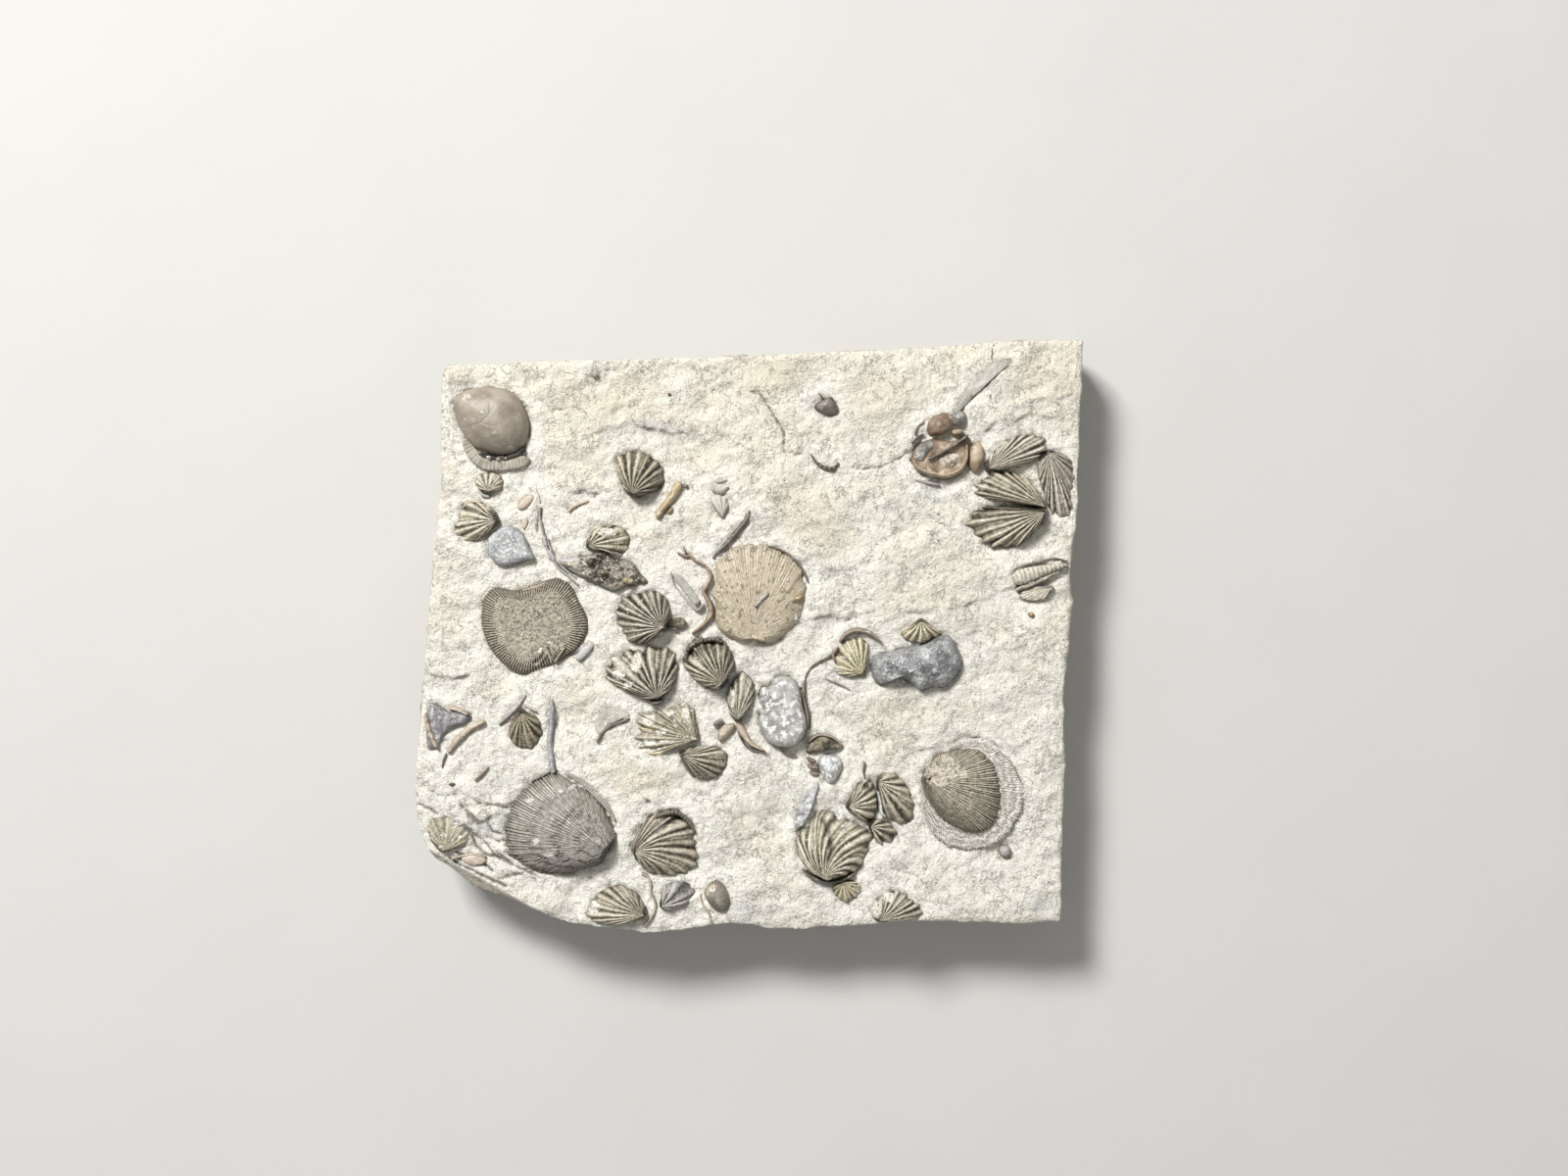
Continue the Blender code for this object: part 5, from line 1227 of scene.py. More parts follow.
def white_nodules():
    """Crystalline nodules, the brown cap and the threads between them."""
    lump("bean_nodule", "bean", 3.4, (6.1, -13.6), [(5.6, -7), (4.1, -7.7), (3.7, -9), (2.6, -9),
        (1.9, -10.2), (1.9, -11.6), (2.6, -12.6), (1.7, -14.3), (1.9, -16.3), (3.1, -18.2), (4.8, -19.2),
        (7, -19.4), (8.8, -18.5), (9.9, -16.7), (10, -14.6), (9.4, -12.2), (8.8, -9.2), (7.7, -7.5)],
        rough=0.1, grain=0.9, flat=True, cuts=[(0.28, 0.22, [(2, -11.7), (3.1, -11.6), (3.9, -10.7),
        (3.7, -9)]), (0.2, 0.2, [(3.2, -7.7), (4.2, -8.5), (5.4, -7.7)])])
    crumb("bean_lobe_upper", "bean", 3.0, (2.7, -10), [(3.7, -10.2), (3.2, -10.9), (2.5, -11.2),
        (1.9, -10.7), (1.9, -9.9), (2.2, -9.1), (2.9, -8.9), (3.5, -9.4)], grain=0.9)
    crumb("bean_lobe_lower", "bean", 3.1, (2.9, -13.4), [(4.1, -13.4), (3.6, -14.2), (2.9, -14.5),
        (2.1, -14.1), (1.9, -13.4), (2.1, -12.7), (2.9, -12.4), (3.6, -12.8)], rough=0.1, grain=0.9)
    rod("nodule_line", "dark_bit", 0.5, [(9.9, -16.3, 0.14), (10.4, -13.6, 0.15), (9.7, -9.9, 0.15),
        (9.9, -7.1, 0.15), (11.1, -5.3, 0.17), (13.1, -4.1, 0.17), (14.5, -3.4, 0.14)])
    rod("brown_seam", "brown_bit", 1.2, [(9, -9.4, 0.14), (9.7, -11.9, 0.26), (10.2, -14.6, 0.26),
        (9.9, -17, 0.14)])
    rod("crescent_line", "dark_bit", 0.5, [(5.4, -19.9, 0.12), (6.6, -20.7, 0.2), (8.3, -20.9, 0.14)])
    lump("brown_cap", "brown_shell", 1.4, (12.9, -19), [(9.9, -20.1), (10.9, -18.4), (12.6, -17.5),
        (14.5, -18), (16.2, -19.2), (15, -19.9), (12.2, -20.1), (10.7, -20.4)], rough=0.3, grain=1.0)
    rod("cap_tooth_upper", "brown_bit", 1.2, [(9.9, -21.2, 0.17), (10.7, -21.6, 0.34), (11.7, -21.8, 0.17)])
    rod("cap_tooth_middle", "brown_bit", 1.2, [(10, -22.4, 0.17), (10.9, -22.8, 0.37), (12.1, -23, 0.17)])
    rod("cap_tooth_lower", "brown_bit", 1.0, [(10.4, -23.6, 0.15), (11.2, -24, 0.31), (12.2, -24, 0.15)])
    rod("cap_rim", "grey_brown", 0.7, [(10.2, -18.5, 0.17), (12.2, -17.3, 0.26), (14.5, -17.7, 0.26),
        (16.3, -19.2, 0.17)])
    lump("crystal_nodule", "crystal", 1.8, (14.1, -23.1), [(12.2, -21.2), (13.9, -20.7), (15.5, -21.1),
        (16.2, -22.6), (15.1, -25), (13.9, -25.7), (12.4, -23.8)], rough=0.2, grain=0.8)


def east_fans():
    """Cream fans beside the grey lump of bryozoan."""
    valve("cream_fan_shell", "cream_gold", 11, 1.2, (19.6, -6.5), [(17.7, -7.3), (15.3, -6.6), (14.6, -5.3),
        (15.1, -3.4), (15.6, -2.2), (16.3, -1.2), (17.7, -0.7), (19.4, -0.5), (20.7, -1.5), (20.6, -3.6),
        (20.4, -5.4)], depth=0.5, crusts=[((15.1, -6), (0.7, 0.7), 0)], rough=0.07)
    rod("fan_rim", "brown_bit", 1.3, [(15.6, -1.2, 0.2), (17, 0.3, 0.41), (18.9, 0.9, 0.48),
        (21.1, 0.3, 0.41), (23, -1.2, 0.2)], rough=0.15)
    rod("fan_rim_west", "brown_bit", 0.9, [(15, -4.8, 0.14), (14.6, -3.2, 0.31), (15.5, -1.9, 0.2)],
        rough=0.12)
    rod("fan_thread", "grey_bit", 0.35, [(13.3, -7.5, 0.09), (15.5, -8.3, 0.14), (17.7, -9.5, 0.09)])
    valve("small_cream_fan_shell", "cream_gold", 9, 1.2, (29.8, 2.4), [(28.2, 1.7), (26.4, 0.5), (27, -0.5),
        (28.4, -1.2), (30.1, -1.2), (31.8, -0.5), (33.2, 0.3), (31.5, 1.9)], depth=0.41)
    lump("bryozoan_lump", "bryozoan", 3.6, (29.9, -5.4), [(21.6, -3.6), (24.1, -2.9), (27.4, -2),
        (30.6, -1.5), (33.2, 0), (35, -0.3), (36.2, -2.6), (36.9, -4.8), (35.7, -7.1), (34, -8.8),
        (32, -8.8), (29.8, -9.5), (28.4, -8.5), (26.4, -7.3), (24.5, -7.7), (22.6, -8.5), (21.4, -7.1),
        (21.2, -5.3)], rough=0.4, grain=2.0)


def cream_disc_shell():
    """Low cream disc with its brown scalloped rim, chips and marks."""
    valve("cream_disc", "cream_shell", 84, 1.7, (0.7, -0.3), [(-2.2, -1), (-4.6, 0.5), (-5.8, 2.4),
        (-5.6, 5.3), (-6.3, 7.3), (-5.6, 9.7), (-5.6, 12.4), (-2.7, 15), (0.3, 15.8), (3.2, 15.5),
        (5.8, 14.3), (8.5, 12.2), (9.5, 9.7), (9.9, 8.2), (9.4, 5.6), (8.8, 3.1), (7.1, 0.9), (5.1, -0.9),
        (3.4, -1.4)], fine=True, depth=0.06, rough=0.07, lines=4, zigzag=0.0, cuts=[(0.14, 0.2,
        [(-1.2, 15.1), (-1.2, 13.6), (-1, 12.1)]), (0.08, 0.2, [(0.3, 8), (0.7, 6.6), (0.2, 5.1)]), (0.08,
        0.15, [(4.8, 9.9), (5.6, 10.9), (6.3, 12.1)])], moat=0.2)
    rod("scalloped_rim", "brown_rim", 1.0, [(-10.9, 14.6, 0.14), (-9.5, 13.1, 0.22), (-7.7, 12.2, 0.24),
        (-6.6, 10.5, 0.31), (-7.1, 8.8, 0.27), (-7.8, 7.5, 0.31), (-6.8, 5.6, 0.44), (-6.6, 3.6, 0.48),
        (-7.8, 1.9, 0.34), (-9.9, 0.3, 0.17)], rough=0.15)
    rod("disc_rim_shadow", "dark_bit", 0.5, [(3.2, 15.6, 0.1), (6.1, 14.5, 0.2), (8.3, 12.8, 0.22),
        (9.7, 10.7, 0.17), (10.2, 9.2, 0.1)])
    rod("disc_mark", "grey_bit", 2.35, [(0.9, 4.6, 0.2), (2, 6, 0.54), (3.6, 7.5, 0.27)], rough=0.1)
    crumb("disc_ochre_chip", "ochre", 1.5, (8.2, 6.3), [(9.5, 6.9), (9.2, 6.3), (8.4, 5.7), (7.5, 5.4),
        (7, 5.8), (7.1, 6.3), (7.9, 6.9), (8.8, 7.1)])
    crumb("disc_violet_chip", "violet_bit", 0.8, (7.7, 3.7), [(8.4, 2.5), (7.8, 2.5), (7.1, 3.4),
        (6.8, 4.4), (6.8, 5.2), (7.5, 4.8), (8.2, 4.1), (8.6, 3)], flat=True)
    rod("grey_capsule", "ghost", 0.6, [(-12.8, 10.5, 0.51), (-11.6, 9.2, 0.68), (-10, 7.1, 0.68),
        (-8.7, 5.3, 0.6)], flat=True, rough=0.12)
    rod("capsule_rim", "ghost", 0.5, [(-13.6, 11.1, 0.12), (-12.9, 8.8, 0.15), (-11.2, 6.6, 0.17),
        (-9, 4.4, 0.19), (-7.8, 5.4, 0.14)])
    rod("brown_twig", "brown_bit", 0.5, [(-12.6, 14.5, 0.1), (-11.2, 13.8, 0.2), (-9.9, 13.6, 0.24),
        (-8.7, 12.4, 0.14)])
    rod("brown_twig_branch", "brown_bit", 0.45, [(-11.4, 15.5, 0.09), (-11.1, 14.6, 0.15),
        (-10.9, 13.4, 0.1)])


def north_east_pieces():
    """Dark chip, crescents and the sectioned brown shell."""
    lump("dark_chip", "dark_chip", 1.3, (13.6, 39.8), [(11.4, 39.8), (13.3, 41.1), (14.5, 41.3),
        (15.5, 39.1), (14.5, 38.2), (12.2, 38.6)], rough=0.08)
    rod("dark_chip_spur", "dark_chip", 0.6, [(12.1, 42, 0.1), (12.6, 41.5, 0.2), (13.4, 40.8, 0.17)])
    rod("dark_crescent", "dark_bit", 0.7, [(10.7, 31.5, 0.14), (11.6, 30.1, 0.24), (12.9, 29.2, 0.34),
        (14.5, 28.9, 0.37), (15.6, 29.9, 0.17)], rings=8, ring_depth=0.2)
    lump("sectioned_shell", "amber", 1.7, (33.7, 30.6), [(28.2, 30.9), (29.2, 32.8), (31.5, 34), (35, 33.7),
        (37.7, 34.2), (38.1, 32.3), (37.9, 29.8), (36.9, 28.2), (33.7, 27.2), (30.4, 27.9), (28.7, 29.2)],
        rough=0.35, grain=1.8, flat=True)
    lump("section_window", "section_cream", 2.3, (34.5, 30.1), [(32.6, 30.4), (33.7, 31.5), (35.2, 31.8),
        (36.6, 31.3), (36.2, 29.8), (34.9, 28.6), (33.3, 28.9)], rough=0.35, grain=1.0)
    rod("section_rim", "amber", 2.0, [(28.4, 30.6, 0.26), (29.2, 29.1, 0.44), (31.3, 28.1, 0.54),
        (34, 27.7, 0.54), (36.4, 28.6, 0.51), (37.6, 30.6, 0.44), (37.7, 33.2, 0.27)], rough=0.15)
    lump("section_grey_half", "grey_bit", 2.2, (30.3, 31.8), [(28.4, 30.9), (29.2, 32.8), (30.8, 33.8),
        (32.3, 33.7), (32, 32.3), (30.8, 30.9), (29.9, 29.8), (28.9, 29.8)], rough=0.2)
    rod("section_bar", "dark_bit", 2.7, [(30.9, 30.3, 0.24), (32.8, 31.3, 0.34), (35.4, 32.8, 0.37),
        (38.1, 34.7, 0.24)], rough=0.25)
    lump("section_tan_lens", "tan_smooth", 1.6, (39.4, 30.9), [(38.4, 32.8), (39.6, 33.7), (40.6, 32.5),
        (40.6, 30.1), (39.6, 28.2), (38.4, 28.9), (38.1, 30.8)], rough=0.08)
    lump("brown_oval", "amber", 1.4, (33.2, 36.4), [(30.9, 35.7), (31.5, 37.6), (33.2, 38.4), (35.2, 38.2),
        (35.4, 36.7), (34.3, 35.2), (32.8, 34.7), (31.5, 34.7)], rough=0.06)
    lump("grey_chunk", "grey_bit", 1.2, (36.6, 37.6), [(35.5, 38.6), (37.1, 38.9), (37.7, 37.9),
        (37.4, 36.6), (36, 36.4), (35.2, 37.2)], rough=0.15)
    crumb("tan_oval", "amber", 1.1, (36.2, 35.2), [(37.2, 35.2), (36.9, 34.8), (36.2, 34.6), (35.5, 34.7),
        (35.2, 35.2), (35.4, 35.6), (36.2, 35.8), (37, 35.7)])
    rod("section_rod", "grey_bit", 0.5, [(28.7, 27, 0.14), (30.8, 26.5, 0.27), (33.2, 26, 0.15)])
    rod("section_arc_upper", "grey_bit", 0.4, [(28.7, 34.9, 0.09), (29.2, 36.2, 0.15), (30.4, 37.2, 0.09)])
    rod("section_arc_lower", "dark_bit", 0.4, [(28.2, 33.3, 0.09), (29.2, 34.3, 0.15), (30.4, 35, 0.09)])
    rod("stalk_streaks", "ghost", 0.14, [(36.7, 40.1, 0.43), (38.2, 42, 0.94), (40.1, 44.2, 1.28),
        (42.5, 46.2, 1.1), (45.7, 47.9, 0.43)], moat=0.0, rough=0.3, flat=True)
    rod("stalk_lower", "ghost", 0.4, [(35.4, 38.2, 0.37), (36.6, 39.6, 0.54), (37.7, 40.8, 0.54),
        (38.8, 42, 0.41)], rings=9, ring_depth=0.2, moat=0.08, rough=0.15)


def east_shells():
    """Dark ribbed shells at the right edge."""
    valve("ribbed_shell_ne", "tan_brown", 13, 2.0, (41.5, 28.9), [(41.5, 30.9), (43.2, 32.6), (45.2, 34),
        (47.9, 34.9), (50.8, 34.5), (51.5, 33), (50.7, 31.3), (49, 30.1), (46.2, 29.1), (43.5, 28.6)],
        depth=0.5, rough=0.1)
    valve("two_lobed_shell_upper_valve", "gold", 13, 2.6, (51, 22.3), [(50.3, 24.7), (49.3, 26.5),
        (47.8, 27.7), (45.2, 28.4), (42.7, 28.4), (40.5, 27.2), (38.9, 25.2), (40.6, 24), (43.5, 23.5),
        (46.6, 22.8)], depth=0.74, rough=0.12, zigzag=0.1, shade_side=0.35, crusts=[((40.6, 25.7),
        (1.2, 0.7), 0)])
    # Its cut paints a black shade into the hollow at its upper left
    valve("two_lobed_shell_lower_valve", "gold", 13, 3.0, (51, 21.4), [(47.3, 22.1), (43.2, 22.3),
        (40.1, 22.1), (38.4, 20.6), (38.1, 18.7), (39.4, 17.3), (41.5, 16), (43.7, 15.3), (46.2, 15.5),
        (48.6, 17.2), (50.3, 19)], depth=0.79, rough=0.12, zigzag=0.1, shade_side=-0.35, cuts=[(0.5, 0.7,
        [(39.3, 20.6), (40.6, 21.6), (42.5, 21.8)])], crusts=[((40.3, 19.6), (1.2, 0.5), 10), ((43.5, 17.3),
        (1, 0.3), 30)])
    valve("edge_ribbed_shell", "tan_brown", 15, 1.8, (52, 31.6), [(53.7, 31.8), (55.8, 30.6), (56.4, 27.9),
        (56.1, 24.7), (55.6, 20.7), (53.7, 20.6), (52, 22.1), (51.2, 24.7), (50.3, 27.4), (50.2, 29.9)],
        depth=0.5, rough=0.12, shade_side=-0.3, lines=2)
    rod("edge_shell_spike", "dark_bit", 1.2, [(50, 31.6, 0.17), (51.3, 32.1, 0.37), (53, 31.8, 0.24)],
        rough=0.15)
    rod("ringed_cone", "cream_tube", 1.5, [(45.7, 9.7, 1.45), (48.1, 10.4, 1.36), (50.5, 11.1, 1.05),
        (53, 11.7, 0.68), (55.4, 12.2, 0.34)], rings=13, ring_depth=0.2, rough=0.28, moat=0.3)
    rod("cone_granular_side", "pyrite", 0.8, [(46.2, 7.8, 0.27), (48.5, 8.7, 0.51), (50.8, 9.7, 0.48),
        (53.4, 10.9, 0.31), (55.4, 11.7, 0.14)], rough=0.5)
    # A dark rod paints the shadow along the cone's upper side
    rod("cone_upper_line", "dark_bit", 0.6, [(45.7, 10.7, 0.14), (47.9, 12.1, 0.24), (50.7, 12.8, 0.22),
        (53, 13.3, 0.2), (55.4, 12.8, 0.14)])
    valve("tan_ribbed_scrap", "cream_tube", 14, 0.3, (52.4, 8.2), [(50, 8.5), (47.6, 7.7), (47.1, 6.6),
        (49.1, 6), (51.3, 6.3)], depth=0.17, moat=0.05)
    crumb("ochre_dot", "ochre", 0.5, (49, 3.6), [(49.5, 3.6), (49.3, 3.3), (49, 3.2), (48.6, 3.3),
        (48.4, 3.6), (48.5, 3.9), (49, 4), (49.4, 3.8)])


def south_west_shells():
    """Faint shell at the left edge and the great fine-ribbed shell beside it."""
    valve("faint_ribbed_shell_sw", "yellow_tan", 9, 0.7, (-52.9, -37.1), [(-55.3, -35.5), (-55.6, -33.3),
        (-54.6, -31.6), (-52.4, -31.5), (-50.2, -32.5), (-48.5, -34.3), (-49, -36.2)], depth=0.19,
        rough=0.12, zigzag=0.06, bend=0.05)
    lump("tan_lens", "pink_tan", 0.3, (-47.6, -38.9), [(-49.8, -38.6), (-48.6, -38.1), (-46.9, -38.1),
        (-45.6, -38.8), (-46.2, -39.6), (-47.9, -39.8), (-49.3, -39.3)], rough=0.1)
    rod("tan_lens_line", "tan_bit", 0.3, [(-51.7, -38.8, 0.1), (-49.6, -38.2, 0.19), (-47.6, -37.9, 0.19),
        (-45.4, -38.4, 0.1)])
    valve("left_atrypid", "atrypid", 92, 3.3, (-25, -36.7), [(-25.7, -39.4), (-27.5, -40.1), (-30.3, -41),
        (-32.8, -41.3), (-35.7, -41), (-38.6, -40), (-41.3, -37.9), (-42.2, -34.5), (-42.2, -32.1),
        (-41.3, -29.8), (-39.8, -27.7), (-37.4, -25.3), (-34, -24), (-32.1, -24.5), (-30.1, -25.8),
        (-27.7, -27.4), (-26.2, -28.7), (-24.3, -31.6), (-23, -34.7)], fine=True, depth=0.13, heel=0.8,
        lines=4, step=0.3, sway=0.15, shade_side=-0.7, cuts=[(0.14, 0.3, [(-27.2, -27.9), (-30.1, -29.9),
        (-32, -32.5), (-33, -35.7), (-32.3, -38.8)]), (0.08, 0.22, [(-35.4, -30.3), (-33.7, -28.4),
        (-31.6, -26.9)]), (-0.1, 0.2, [(-27.9, -28.7), (-29.9, -30.8), (-31.3, -33.2)]), (0.08, 0.2,
        [(-40.1, -34.7), (-39.1, -37.4), (-36.6, -39.4)])], crusts=[((-26, -35.5), (1, 0.7), 20),
        ((-30.8, -26.4), (1.5, 0.5), 40), ((-32.6, -26.9), (0.9, 0.5), 30), ((-37.9, -28.4), (1.2, 0.7),
        20), ((-36.7, -35.4), (1.5, 0.7), 30), ((-34.3, -37.7), (1.2, 0.5), 0)], bend=0.02)
    rod("atrypid_ghost_margin", "ghost", 0.5, [(-31.8, -23.8, 0.2), (-29.1, -25.3, 0.44),
        (-26.9, -27.2, 0.54), (-24.7, -29.6, 0.44), (-23.1, -32.3, 0.2)], rings=26, ring_depth=0.1,
        flat=True)
    rod("atrypid_ghost_margin_west", "ghost", 0.4, [(-37.9, -25.3, 0.17), (-36.6, -24.5, 0.37),
        (-34.5, -23.6, 0.2)], rings=8, ring_depth=0.1, flat=True)


def south_shells():
    """Shells along the bottom edge."""
    valve("ribbed_shell_s", "gold_dark", 16, 3.0, (-19.7, -37.2), [(-20.6, -36.4), (-19, -33.7),
        (-17.5, -31.5), (-15.6, -30.6), (-13.9, -30.4), (-12.1, -30.6), (-10.7, -31.5), (-9.5, -33.2),
        (-9.2, -35.5), (-9, -38.8), (-9.5, -40.3), (-11.1, -41.1), (-13.1, -41.7), (-15.1, -41.7),
        (-17.5, -40.8), (-19.6, -38.9)], depth=0.6, rough=0.12, fold=(0.55, 0.03, 0.55), bend=-0.08,
        zigzag=0.05, shade_side=-0.25, cuts=[(0.25, 0.5, [(-15.6, -30.9), (-13.6, -30.8), (-11.4, -31.3),
        (-9.9, -33)])])
    rod("shell_s_upper_margin", "dark_bit", 2.2, [(-16.3, -31.5, 0.17), (-14.3, -30.8, 0.37),
        (-12.2, -30.8, 0.41), (-10.4, -32.3, 0.27), (-9.5, -33.8, 0.17)], rings=14, ring_depth=0.4,
        rough=0.2)
    valve("gold_ribbed_shell_at_edge", "gold", 12, 2.1, (-18.2, -48.3), [(-18.2, -46.4), (-19.4, -44.7),
        (-21.1, -43.7), (-23, -43.2), (-25.5, -44.2), (-27.5, -46.2), (-28.1, -48.3), (-26.7, -49.6),
        (-24.1, -50.2), (-21.1, -49.8)], depth=0.5, rough=0.1, shade_side=-0.4, crusts=[((-26.9, -47.1),
        (1.4, 1.5), 0)])
    valve("small_grey_ribbed_shell", "grey", 5, 1.5, (-15, -46.8), [(-15.3, -45.1), (-14.5, -43.4),
        (-12.8, -42.7), (-11.1, -42.8), (-9.7, -43.4), (-9.5, -44.7), (-10.5, -46.4), (-12.4, -47.6),
        (-14.1, -47.6)], depth=0.41, bend=0.05)
    # Its wide shallow cut along the lower right rim paints shade there
    lump("small_smooth_shell", "grey_brown", 1.6, (-5.4, -45.2), [(-7.7, -44.5), (-6.5, -42.8),
        (-4.9, -42.8), (-3.9, -43.9), (-3.2, -45.9), (-4.2, -47.8), (-5.8, -47.6), (-7.1, -46.2)],
        rough=0.05, fringe=(26, 0.5, 0.06), cuts=[(0.1, 1.0, [(-3.4, -44.5), (-3.2, -46.4), (-4.6, -47.9),
        (-6.3, -47.6)])], crusts=[((-6.3, -44), (0.7, 0.5), 0)])
    rod("smooth_shell_thread", "tan_bit", 0.5, [(-8.5, -44.7, 0.1), (-8, -46.6, 0.2), (-7, -48.1, 0.2),
        (-6.5, -50, 0.12)])
    rod("worm_tube", "tan_bit", 0.7, [(-18.7, -41.1, 0.2), (-17.5, -41.8, 0.24), (-17, -43, 0.24),
        (-17, -44.5, 0.24), (-16.3, -46.1, 0.24), (-16.3, -47.6, 0.24), (-17.2, -49.3, 0.22),
        (-18.2, -50.5, 0.15)])


def right_atrypid_shell():
    """Fine-ribbed shell at the lower right in its spread frill."""
    valve("right_atrypid", "atrypid_brown", 80, 3.9, (31.1, -24.7), [(31.6, -22.3), (32.8, -20.7),
        (34.7, -20.1), (38.1, -19.6), (40.6, -20.2), (42.2, -21.8), (43.2, -24), (43.7, -26.4),
        (43.7, -28.7), (43.4, -31.1), (42.2, -33.2), (39.4, -34.5), (36.4, -33.7), (33.7, -32.1),
        (31.6, -29.6), (30.4, -26.9)], fine=True, depth=0.16, heel=1.1, rough=0.1, sway=0.3, shade_side=0.5,
        rise=plump_rise, crusts=[((32.8, -24), (2.9, 2.7), 0), ((36, -23.5), (2.2, 1.5), -30),
        ((34.5, -21.6), (1.9, 1), -20)])
    valve("right_atrypid_frill", "frill", 88, 1.25, (33.3, -25.3), [(37.6, -18.5), (40.6, -18.7),
        (43.7, -20.4), (46.1, -23), (47.4, -25.8), (47.8, -28.9), (46.8, -32), (44.7, -34.7), (41.8, -36.7),
        (38.4, -37.2), (35, -36.7), (32.5, -35), (30.9, -32.6), (30.3, -29.6)], fine=True, depth=0.12,
        heel=1.0, rough=0.09, lines=12, step=0.15, sway=0.4, rise=frill_rise, zigzag=0.02, moat=0.1)
    lump("round_bead", "grey_bit", 1.0, (44.4, -37.4), [(45.4, -37.4), (45.1, -36.6), (44.4, -36.4),
        (43.7, -36.6), (43.4, -37.4), (43.7, -38.2), (44.4, -38.4), (45.1, -38.2)], rough=0.05)


def south_east_shells():
    """Folded gold shells piled near the bottom right."""
    valve("paired_shell_left_valve", "gold", 10, 2.1, (17.3, -29.6), [(17.9, -27.5), (19, -26),
        (20.6, -24.8), (21.8, -26.4), (22.3, -28.7), (21.9, -30.9), (20.6, -32.3), (18.5, -31.3)],
        depth=0.5, rough=0.1, cuts=[(0.5, 0.5, [(19.7, -25.7), (20.4, -26.2), (20.9, -26)])])
    valve("paired_shell_right_valve", "gold", 8, 2.1, (22.4, -25.3), [(23.6, -23.8), (25.3, -24.1),
        (26.9, -25.3), (27.9, -27.2), (28.6, -29.6), (28.6, -31.5), (27.5, -32.6), (25.5, -32.3),
        (23.6, -31.1), (22.6, -28.9)], depth=0.6, rough=0.08, zigzag=0.04, heel=0.4, shade_side=0.3)
    rod("pair_white_crack", "crystal", 2.0, [(22.3, -26.9, 0.17), (22.8, -28.9, 0.31), (23, -30.6, 0.37),
        (23.8, -31.5, 0.17)], rough=0.2)
    valve("zigzag_shell_piece", "gold_dark", 5, 1.7, (21.1, -33), [(21.9, -31.8), (23.8, -32.3),
        (25.3, -33.5), (25.5, -34.9), (24, -36.2), (22.1, -36)], depth=0.72, zigzag=0.14)
    valve("big_gold_shell", "gold", 15, 3.4, (13.3, -41.7), [(9.9, -40.5), (8.5, -37.7), (8.3, -34.9),
        (8.7, -33.7), (10.2, -33.2), (11.7, -30.8), (13.9, -30.4), (15.6, -31.6), (17.7, -32.3),
        (19.7, -33.2), (21.1, -34.2), (21.1, -36), (20.4, -38.2), (19.2, -40.3), (17.3, -41.5),
        (15, -42.2)], depth=0.74, rough=0.1, fold=(0.36, 0.025, 0.8), bend=-0.2, cuts=[(0.5, 0.4,
        [(12.6, -31.3), (13.9, -34), (14.3, -37.1), (13.4, -39.4)])], crusts=[((17, -32.8), (1.4, 0.5),
        15)])
    rod("gold_shell_under_rim", "dark_bit", 1.6, [(9.2, -40.5, 0.2), (11.2, -42, 0.37), (13.8, -42.7, 0.41),
        (16.3, -42.3, 0.31), (18.4, -41.1, 0.17)], rough=0.1)
    valve("small_gold_shell", "cream_gold", 9, 1.2, (16.3, -42.8), [(14.6, -43.4), (15, -45.2),
        (16.8, -46.2), (18.5, -45.4), (19.4, -43.7), (18.2, -42.5)], depth=0.38)
    valve("bottom_edge_shell", "grey_olive", 11, 1.9, (22.8, -49.3), [(20.9, -47.9), (21.9, -46.1),
        (23.5, -44.7), (25.5, -44.2), (27.5, -45.2), (29.6, -47.1), (29.9, -48.8), (26.9, -49.3)],
        depth=0.6, rough=0.16, zigzag=0.09, crusts=[((21.9, -47.4), (1.5, 1.9), 0), ((24.1, -45.4),
        (1.4, 0.9), 0)])
    rod("blue_streak", "speckled_blue", 0.7, [(11.9, -25.3, 0.34), (11.1, -27.5, 0.61), (10.2, -29.6, 0.85),
        (9, -31.6, 1.1), (8, -33.5, 0.51)], rough=0.5, flat=True)
    rod("blue_spur", "dark_bit", 0.8, [(20.1, -21.9, 0.12), (19.9, -23.5, 0.22), (20.2, -25, 0.14)])


# --- Camera, light and floor ---

def camera():
    """Camera straight above the face, with the whole view as wide as VIEW_WIDTH there."""
    lens = bpy.data.cameras.new("camera")
    lens.lens = LENS
    lens.sensor_width = SENSOR
    item = bpy.data.objects.new("camera", lens)
    distance = VIEW_WIDTH * LENS / SENSOR
    item.location = Vector((*CAMERA_SPOT, SLAB_THICKNESS + distance)) * MM
    bpy.context.collection.objects.link(item)
    bpy.context.scene.camera = item


def soft_light(name, place, size, power):
    """Square light of the given size in metres, aimed at the middle of the slab."""
    lamp = bpy.data.lights.new(name, "AREA")
    lamp.size = size
    lamp.energy = power
    item = bpy.data.objects.new(name, lamp)
    item.location = place
    item.rotation_euler = (-Vector(place)).to_track_quat("-Z", "Y").to_euler()
    bpy.context.collection.objects.link(item)


def studio():
    """Key light from the upper left, a weak fill from the lower right and a pale room."""
    soft_light("key_light", *KEY_LIGHT)
    soft_light("fill_light", *FILL_LIGHT)
    world = bpy.data.worlds.new("studio")
    world.use_nodes = True
    room = world.node_tree.nodes["Background"].inputs
    room["Color"].default_value = srgb(ROOM_COLOUR)
    room["Strength"].default_value = ROOM_STRENGTH
    bpy.context.scene.world = world
    bpy.context.scene.view_settings.view_transform = "Standard"


